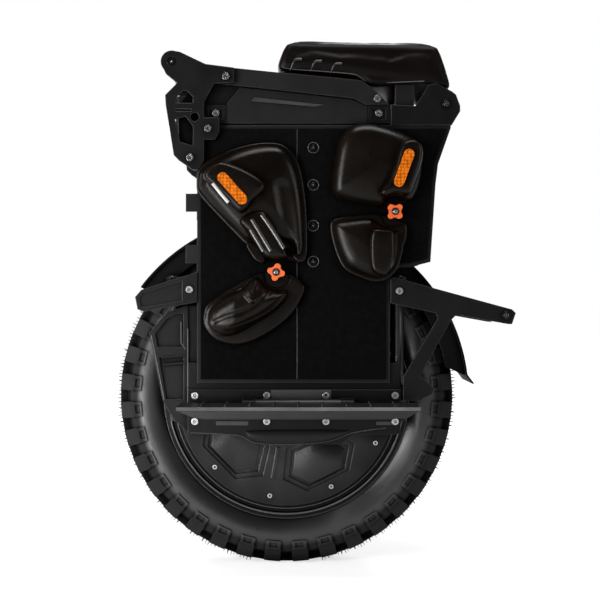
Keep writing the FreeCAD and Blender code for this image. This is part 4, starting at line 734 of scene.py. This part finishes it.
front_lower_outline = [
    (-124, 387), (-120, 400), (-109, 410), (-90, 420), (-70, 428), (-56, 441), (-44, 448), (-33, 449), (-30, 434),
    (-14, 428), (1, 434), (6, 446), (17, 441), (26, 432), (28, 424), (18, 402), (2, 381), (-21, 363), (-48, 348),
    (-71, 342), (-94, 345), (-111, 354), (-123, 371)]
front_lower_body = [
    (-119, 383), (-116, 395), (-106, 405), (-86, 417), (-66, 426), (-53, 438), (-43, 443), (-36, 436), (-30, 428),
    (-12, 423), (0, 424), (2, 412), (-11, 396), (-30, 382), (-50, 370), (-70, 359), (-91, 355), (-109, 360),
    (-118, 371)]
rear_upper_outline = [
    (68, 578), (70, 603), (76, 639), (85, 657), (101, 671), (123, 674), (144, 670), (166, 663), (184, 655),
    (200, 645), (205, 634), (205, 616), (201, 587), (192, 563), (182, 556), (168, 561), (156, 560), (146, 551),
    (137, 549), (105, 554), (83, 560), (72, 566)]
rear_capsule = [
    (169, 637), (178, 645), (190, 646), (200, 639), (203, 626), (200, 608), (192, 586), (185, 568), (176, 564),
    (160, 566), (146, 562), (139, 565), (142, 574), (151, 585), (159, 606)]
rear_lower_outline = [
    (66, 521), (72, 530), (96, 535), (130, 538), (142, 536), (146, 526), (155, 520), (168, 521), (180, 523),
    (181, 503), (176, 490), (175, 480), (166, 454), (151, 440), (133, 436), (112, 442), (90, 453), (78, 471),
    (69, 499)]
rear_lower_dome = [
    (72, 519), (77, 525), (98, 529), (126, 531), (140, 522), (158, 513), (168, 510), (168, 484), (160, 457),
    (148, 446), (133, 442), (115, 447), (95, 458), (84, 475), (75, 500)]
rear_lower_block = [
    (126, 508), (133, 515), (150, 514), (160, 511), (162, 500), (162, 477), (157, 456), (147, 445), (135, 447),
    (126, 457), (124, 486)]
front_lower_crease = [(-108, 376), (-90, 384), (-63, 392), (-41, 405), (-24, 420)]
NOSE_START, NOSE_SPAN, NOSE_FALL = -76, 30, 0.24
SHELL_FOOT, SHELL_RISE = 9, 8


def front_upper_shape(flat, height):
    """A long hollow down the pad's right side."""
    return raise_bar(flat, height, [(-6, 575), (8, 490)], width=17, rise=-4)


def front_lower_shape(flat, height):
    """A short rib, a crease along the pad, and a nose that falls away to the front."""
    height = raise_bar(flat, height, [(-68, 427), (-49, 407)], width=4.5, rise=3.5)
    height = raise_bar(flat, height, front_lower_crease, width=5.5, rise=-2.6)
    nose = np.clip(NOSE_START - flat[:, 0], 0, NOSE_SPAN)
    return height - NOSE_FALL * nose * np.clip((height - SHELL_FOOT) / SHELL_RISE, 0, 1)


front_upper = relief("front_upper_pad", [
    layer(front_upper_outline, foot=5, top=8, round_off=3),
    layer(front_dome, foot=8, top=16, round_off=14, crown=12, reach=24, tilt=(-0.05, 0.02)),
], "body", pad_skin, spacing=2.6, shape=front_upper_shape)
front_lower = relief("front_lower_pad_shell", [
    layer(front_lower_outline, foot=5, top=9, round_off=4),
    layer(front_lower_body, foot=9, top=25, round_off=21, crown=6, reach=22),
], "front_lower_pad", pad_skin, spacing=2.4, shape=front_lower_shape)
rear_upper = relief("rear_upper_pad", [
    layer(rear_upper_outline, foot=4, top=18, round_off=17, crown=10, reach=22),
], "body", pad_skin, spacing=2.6)
rear_lower = relief("rear_lower_pad_shell", [
    layer(rear_lower_outline, foot=5, top=8, round_off=3),
    layer(rear_lower_dome, foot=8, top=19, round_off=20, crown=5, reach=22),
    layer(rear_lower_block, foot=20, top=30, round_off=5, crown=2, reach=6),
], "rear_lower_pad", pad_skin, spacing=2.4)
front_blocks = relief("front_pad_block", [
    layer(front_block, foot=30, top=42, round_off=7, crown=2, reach=8),
], "body", pad_skin, spacing=2.2, back=14)
relief("front_pad_arm", [
    layer(front_arm, foot=22, top=31, round_off=6, crown=2, reach=6),
], "body", pad_skin, spacing=2.0, back=8)
relief("rear_pad_block", [
    layer(rear_capsule, foot=30, top=42, round_off=6, crown=2, reach=8),
], "body", pad_skin, spacing=2.2, back=14)
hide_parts("front_upper_pads")
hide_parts("rear_upper_pads")
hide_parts("pad_frames")
for pads, name in ((front_lower, "front_lower_pad"), (rear_lower, "rear_lower_pad")):
    for piece, (_, word) in zip(pads, SIDES):
        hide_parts(name + word)


# Ribs, a painted highlight strip and reflectors of the pads

REFLECTOR_LENGTH, REFLECTOR_WIDTH = 58, 15.5

tubes("front_arm_rib", [[(-52, 513), (-43, 498), (-33, 481)], [(-50, 528), (-36, 504), (-22, 481)],
                        [(-36, 535), (-18, 511), (-3, 485)]],
      "body", rib_gloss, depth=PAD_FOOT + 32, radius=3.2)
# A pale bar along the block beside the reflector: painted highlight on the block's chamfer.
tubes("front_block_highlight", [[(-107, 580), (-96, 566), (-84, 552)]], "body", painted_highlight_pale,
      depth=PAD_FOOT + 43, radius=2.6)
relief("front_pad_ledge", [layer(front_ledge, foot=8, top=11, round_off=2, corner=True)], "body", pad_skin,
       spacing=2.0)
tubes("front_lower_ridge", [[(0, 418), (-12, 402), (-32, 388), (-56, 376), (-84, 368)]],
      "front_lower_pad", pad_skin, depth=PAD_FOOT + 29, radius=1.6)
front_reflectors = plates("front_pad_reflector", [capsule(-78.4, 572.7, REFLECTOR_LENGTH, REFLECTOR_WIDTH, -48)],
                          "body", reflector, near=141, far=145.4)
plates("rear_pad_reflector", [capsule(173.6, 602.6, REFLECTOR_LENGTH, REFLECTOR_WIDTH, 70)],
       "body", reflector, near=143, far=148.4)
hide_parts("reflectors")


# Star knobs

KNOB_SIZE = 0.85
FRONT_KNOB = (-14.434, 450.452)
REAR_KNOB = (162.432, 540.468)


def add_knob(name, place):
    """The CAD star knob on each side, at the size that the photo shows."""
    for _, word in SIDES:
        mesh = nodes[name + word].data.copy()
        for vert in mesh.vertices:
            vert.co.x = (place[0] + (vert.co.x / MM - place[0]) * KNOB_SIZE) * MM
            vert.co.z = (place[1] + (vert.co.z / MM - place[1]) * KNOB_SIZE) * MM
        piece = add_piece(name + "_star" + word, mesh, name + word, knob_orange)
        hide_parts(name + word)


for name, place in (("front_knob", FRONT_KNOB), ("rear_knob", REAR_KNOB)):
    add_knob(name, place)
    discs(name + "_washer", [place], name, dark_steel, radius=5.6, near=124.6, far=126.0)
    discs(name + "_screw", [place], name, steel, radius=3.4, near=125.5, far=127.4, bevel=0.8)


# Bolts, seams and plates of the body

PANEL_BOLTS = [(41, z) for z in (466.8, 520.7, 582.0, 637.9)]
HANDLE_BOLT = [(-171.08, 766.08)]

hanger_bulge = [
    (-62, 214), (-60, 205), (-52, 198), (-37, 194), (-18, 193), (21, 193), (60, 197), (78, 202), (93, 209),
    (101, 214)]
hanger_lip_highlight = [
    (-144, 209.6), (-100, 207.5), (-68, 205.5), (-60, 200.5), (-51, 195.5), (-36, 192.8), (-18, 192.2),
    (21, 192.2), (60, 195.3), (78, 200.4), (93, 207.2), (102, 210.5), (150, 216.5)]

discs("panel_bolt_button", PANEL_BOLTS, "body", rim_black, radius=4.2, near=100.8, far=102.6, bevel=1.2)
discs("panel_bolt_socket", PANEL_BOLTS, "body", strip_grey, radius=1.7, near=101.8, far=102.9, bevel=0.5,
      sides=6)
tubes("panel_bolt_ring", [circle(place, 8.2, 12) for place in PANEL_BOLTS], "body", strip_grey,
      depth=100.9, radius=0.5, closed=True)
plates("panel_seam", [rectangle(15.7, 17.3, 290.5, 665.5)], "body", strip_grey, near=97.4, far=99.6)
# The ring and bolt head in the handle's eye are black: partly their own colour, partly painted shade of the eye's
# recess.
discs("handle_ring", HANDLE_BOLT, "body", rim_black, radius=7.6, near=106.0, far=108.6, bevel=0.6)
discs("handle_bolt", HANDLE_BOLT, "body", rim_black, radius=4.6, near=106.0, far=109.2, bevel=1.4)
discs("handle_bolt_socket", HANDLE_BOLT, "body", steel, radius=1.5, near=108.0, far=109.7, sides=6)
# A black plate behind the bracket's openings: a backing whose black also stands for the shade in the openings, as
# painted shade.
plates("bracket_backing_shade", [[(-160, 640), (-128, 640), (-128, 718), (-146, 722), (-162, 700)]],
       "body", rim_black, near=99.0, far=100.5)
plates("hanger_slot", [rectangle(-105, -57, 220.5, 226.5), rectangle(136, 164, 221, 226)],
       "body", strip_dim, near=99.0, far=99.8)
relief("hanger_bulge", [layer(hanger_bulge, foot=-1.2, top=1.0, round_off=5, crown=3, reach=9, corner=True)],
       "body", charcoal, spacing=3.0, back=-2.5)
# A pale bar along the hanger's lower lip: painted highlight on the lip's edge.
tubes("hanger_lip_highlight", [hanger_lip_highlight], "body", strip_dim, depth=99.6, radius=0.9)
plates("hanger_plate", [rectangle(-23, 68, 259, 274)], "body", strip_dim, near=100.2, far=101.0)


# Whiskers that the mould leaves on the tread

WHISKERS = 760
GROUND_ANGLE = 0.2
TREAD_EDGE, TREAD_EDGE_WIDTH = 26, 9
SHOULDER_START, SHOULDER_SLOPE = 28, 0.6
WHISKER_SUNK, WHISKER_LENGTH, WHISKER_EXTRA, WHISKER_LEAN = 2, 4.5, 3.0, 0.25
WHISKER_FOOT, WHISKER_TIP = 0.9, 0.5
TURN_STEP, ACROSS_STEP, LENGTH_STEP, LEAN_STEP = 0.618034, 0.754878, 0.569840, 0.324718


def even(i, step):
    """The i-th of a row of values from 0 to 1 that fill the span without a pattern."""
    return (i * step) % 1


def add_whisker(bm, i):
    """A thin three-sided spike on a shoulder of the tread, if it is clear of the ground."""
    turn = even(i, TURN_STEP) * 2 * math.pi
    if abs(math.remainder(turn + math.pi / 2, 2 * math.pi)) < GROUND_ANGLE:
        return
    across = (TREAD_EDGE + TREAD_EDGE_WIDTH * even(i, ACROSS_STEP)) * (1 if i % 2 else -1)
    root = AXLE_Z - WHISKER_SUNK - max(0, abs(across) - SHOULDER_START) * SHOULDER_SLOPE
    length = WHISKER_LENGTH + WHISKER_EXTRA * even(i, LENGTH_STEP)
    lean = WHISKER_LEAN * (even(i, LEAN_STEP) - 0.5)
    out = Vector((math.cos(turn), 0, math.sin(turn)))
    along = Vector((-math.sin(turn), 0, math.cos(turn)))
    foot = Vector((0, across, AXLE_Z)) + out * root
    tip = foot + (out + along * lean) * length
    close_rings(bm, [[bm.verts.new((place + along * a + Vector((0, b, 0))) * MM)
                      for a, b in circle((0, 0), thick, 3)]
                     for place, thick in ((foot, WHISKER_FOOT), (tip, WHISKER_TIP))])


def add_whiskers():
    bm = bmesh.new()
    for i in range(WHISKERS):
        add_whisker(bm, i)
    add_piece("tyre_whiskers", finished_mesh("tyre_whiskers", bm), "wheel", rubber)


add_whiskers()


# Dark bolts, lines on the wheel, and painted highlights on the pedals and the leg covers

DARK_BOLTS = (("rear_bracket_bolt", (240.6, 703.8)), ("stand_end_bolt", (330.6, 386.2)))
RIM_LINES = ((174.0, 42.4, 1.0), (183.0, 41.2, 1.6), (190.5, 37.2, 0.6))  # radius, depth, thickness


def node_rise(node, place, radius):
    """How far from the middle a node stands out round a place on its left side."""
    return max(-v.co.y / MM for v in nodes[node].data.vertices
               if math.hypot(v.co.x / MM - place[0], v.co.z / MM - place[1]) < radius and v.co.y < 0)


# These bolts get black discs: partly their own colour, partly painted shade of the recesses they sit in.
for name, place in DARK_BOLTS:
    rise = node_rise("frame_screws", place, radius=7)
    discs(name, [place], "body", rim_black, radius=6.4, near=rise - 2, far=rise + 0.7, bevel=0.8)
    tubes(name + "_ring", [circle(place, 3.4, 12)], "body", strip_grey, depth=rise + 0.7, radius=0.4,
          closed=True)
    discs(name + "_socket", [place], "body", strip_grey, radius=1.6, near=rise, far=rise + 1.1, bevel=0.3)
for number, (radius, depth, thick) in enumerate(RIM_LINES):
    tubes(f"rim_line_{number}", [circle(AXLE, radius, 96)], "wheel", strip_grey, depth=depth, radius=thick,
          closed=True)
discs("cover_screw_socket", circle(AXLE, 155, 10, start=-171.5), "wheel", rim_black, radius=1.8, near=53.5,
      far=54.25, bevel=0.1, sides=6)
# A paler plate along the pedal's upper face: painted highlight.
plates("pedal_lit_edge", [[(-128, 240.5), (173, 240.5), (190, 250.5), (-152, 250.5)]], "pedal", pedal_lit_grey,
       near=197.0, far=197.6)
# Pale bars along the edges of the leg covers: painted highlights.
tubes("leg_edge_highlight", [[(-148.5, 366), (-148.5, 253)], [(-203.5, 356), (-184, 258)],
                   [(-158.5, 376), (-158.5, 344), (-151.5, 334)]],
      "body", strip_dim, depth=90.4, radius=1.2, smooth=False)
tubes("leg_rib", [[(-188, 322), (-170, 324), (-152, 325)], [(-186, 311), (-170, 313), (-152, 314)]],
      "body", charcoal, depth=90.4, radius=2.0)


# Seat: its side outline across the width, filled out by a cloth simulation

SEAT_OUTLINE = [
    (-1, 798), (40, 798), (110, 797), (180, 796), (224, 794), (232, 790), (238, 770), (249, 730), (246, 727),
    (228, 731), (210, 734), (160, 732), (124, 731), (114, 740), (104, 746), (50, 751), (-8, 755), (-12, 760),
    (-7, 783)]
SEAT_ROUNDING = ((1, 8), (0.985, 3), (0.95, 0.8), (0.9, 0))  # share of the half width, inset of the outline
SEAT_FLAT, SEAT_FLAT_STEPS = 0.75, 11
SEAT_SPACING, SEAT_VOXEL = 6.0, 5
SEAT_CROWN, CROWN_START, CROWN_SPAN = 5, 770, 25
SEAT_PRESSURE, SEAT_MOMENTS, SEAT_SWELL = 4, 20, 3
UNDERSIDE = -0.4


def baked(piece):
    """The piece's mesh with its modifiers applied."""
    graph = bpy.context.evaluated_depsgraph_get()
    return bpy.data.meshes.new_from_object(piece.evaluated_get(graph))


def bake_in(piece):
    """Applies the piece's modifiers to its own mesh."""
    piece.data = baked(piece)
    piece.modifiers.clear()


def places_of(mesh):
    """A mesh's points, one to a row."""
    flat = np.zeros(len(mesh.vertices) * 3)
    mesh.vertices.foreach_get("co", flat)
    return flat.reshape(-1, 3)


def fill_out(piece, limit):
    """Blows the piece up under pressure; its underside stays, and no point moves further than the limit."""
    rest = places_of(piece.data)
    group = piece.vertex_groups.new(name="held")
    group.add([v.index for v in piece.data.vertices if v.normal.z < UNDERSIDE], 1.0, "REPLACE")
    cloth = piece.modifiers.new("cloth", "CLOTH")
    cloth.settings.vertex_group_mass = "held"
    cloth.settings.use_pressure = True
    cloth.settings.uniform_pressure_force = SEAT_PRESSURE
    cloth.settings.effector_weights.gravity = 0
    cloth.point_cache.frame_start, cloth.point_cache.frame_end = 1, SEAT_MOMENTS
    for moment in range(1, SEAT_MOMENTS + 1):
        scene.frame_set(moment)
    mesh = baked(piece)
    scene.frame_set(1)
    piece.modifiers.clear()
    step = places_of(mesh) - rest
    length = np.linalg.norm(step, axis=1)[:, None]
    piece.data = mesh
    mesh.vertices.foreach_set("co", (rest + step * np.minimum(1, limit / np.maximum(length, TINY))).ravel())
    mesh.update()


def seat_mesh():
    """The seat's side outline across its width, with rounded side edges and a crowned top."""
    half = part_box("seat_cushion")[1].y
    ring = smooth_loop(SEAT_OUTLINE, SEAT_SPACING, corner=True)
    middle = [(share, 0) for share in np.linspace(SEAT_FLAT, -SEAT_FLAT, SEAT_FLAT_STEPS)]
    bm = bmesh.new()
    loops = []
    for share, inset in (*SEAT_ROUNDING, *middle, *[(-share, inset) for share, inset in SEAT_ROUNDING[::-1]]):
        loop = inner_loop(ring, inset) if inset else ring
        crown = SEAT_CROWN * (1 - share ** 2) * np.clip((loop[:, 1] - CROWN_START) / CROWN_SPAN, 0, 1)
        loops.append([bm.verts.new((x * MM, share * half, (z + rise) * MM)) for (x, z), rise in zip(loop, crown)])
    close_rings(bm, loops)
    return finished_mesh("seat_cover", bm)


def add_seat():
    seat = bpy.data.objects.new("seat_cover", seat_mesh())
    scene.collection.objects.link(seat)
    remesh = seat.modifiers.new("remesh", "REMESH")
    remesh.mode = "VOXEL"
    remesh.voxel_size = SEAT_VOXEL * MM
    bake_in(seat)
    fill_out(seat, SEAT_SWELL * MM)
    seat.modifiers.new("smooth", "SUBSURF").render_levels = 1
    bake_in(seat)
    seat.data.shade_smooth()
    dress(seat, "body", seat_skin)
    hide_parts("seat_cushion")
    return seat


seat = add_seat()


# Hooks, painted highlights on the hooks, and piping on the seat's sides

seat_skin_tree = BVHTree.FromPolygons([tuple(v.co) for v in seat.data.vertices],
                                      [tuple(p.vertices) for p in seat.data.polygons])
hooks = [
    [(24, 770), (18, 770.5), (12, 769), (9, 761), (6, 755)],
    [(54, 767), (48, 767.5), (42, 766), (39, 758), (36, 752)],
    [(84, 763), (78, 764), (72, 762), (69, 755), (67, 750)]]
RAY_START = -400
piping = [(-6, 760), (0, 757.5), (50, 754), (103, 749.5), (112, 745), (122, 736), (160, 736.5), (208, 738.5)]


def seat_depth(x, z):
    """How far from the middle the seat's left side lies."""
    hit = seat_skin_tree.ray_cast(Vector((x, RAY_START, z)) * MM, Vector((0, 1, 0)))[0]
    return -hit.y / MM


def seat_lines(name, lines, material, radius, shift=0.0, rise=0.0):
    """Round bars on the seat's sides, moved up by shift and out by rise."""
    def make(side):
        places = [[(x, side * (seat_depth(x, z + shift) + rise), z + shift) for x, z in line] for line in lines]
        return tube_mesh(name, places, radius)
    both_sides(name, make, "body", material)


seat_lines("seat_hook", hooks, dark_steel, radius=1.7, rise=0.2)
# A pale bar just above each hook: painted highlight on the hook's top edge.
seat_lines("seat_hook_highlight", hooks, strip_grey, radius=0.7, shift=1.8)
seat_lines("seat_piping", [piping], strip_grey, radius=0.9)
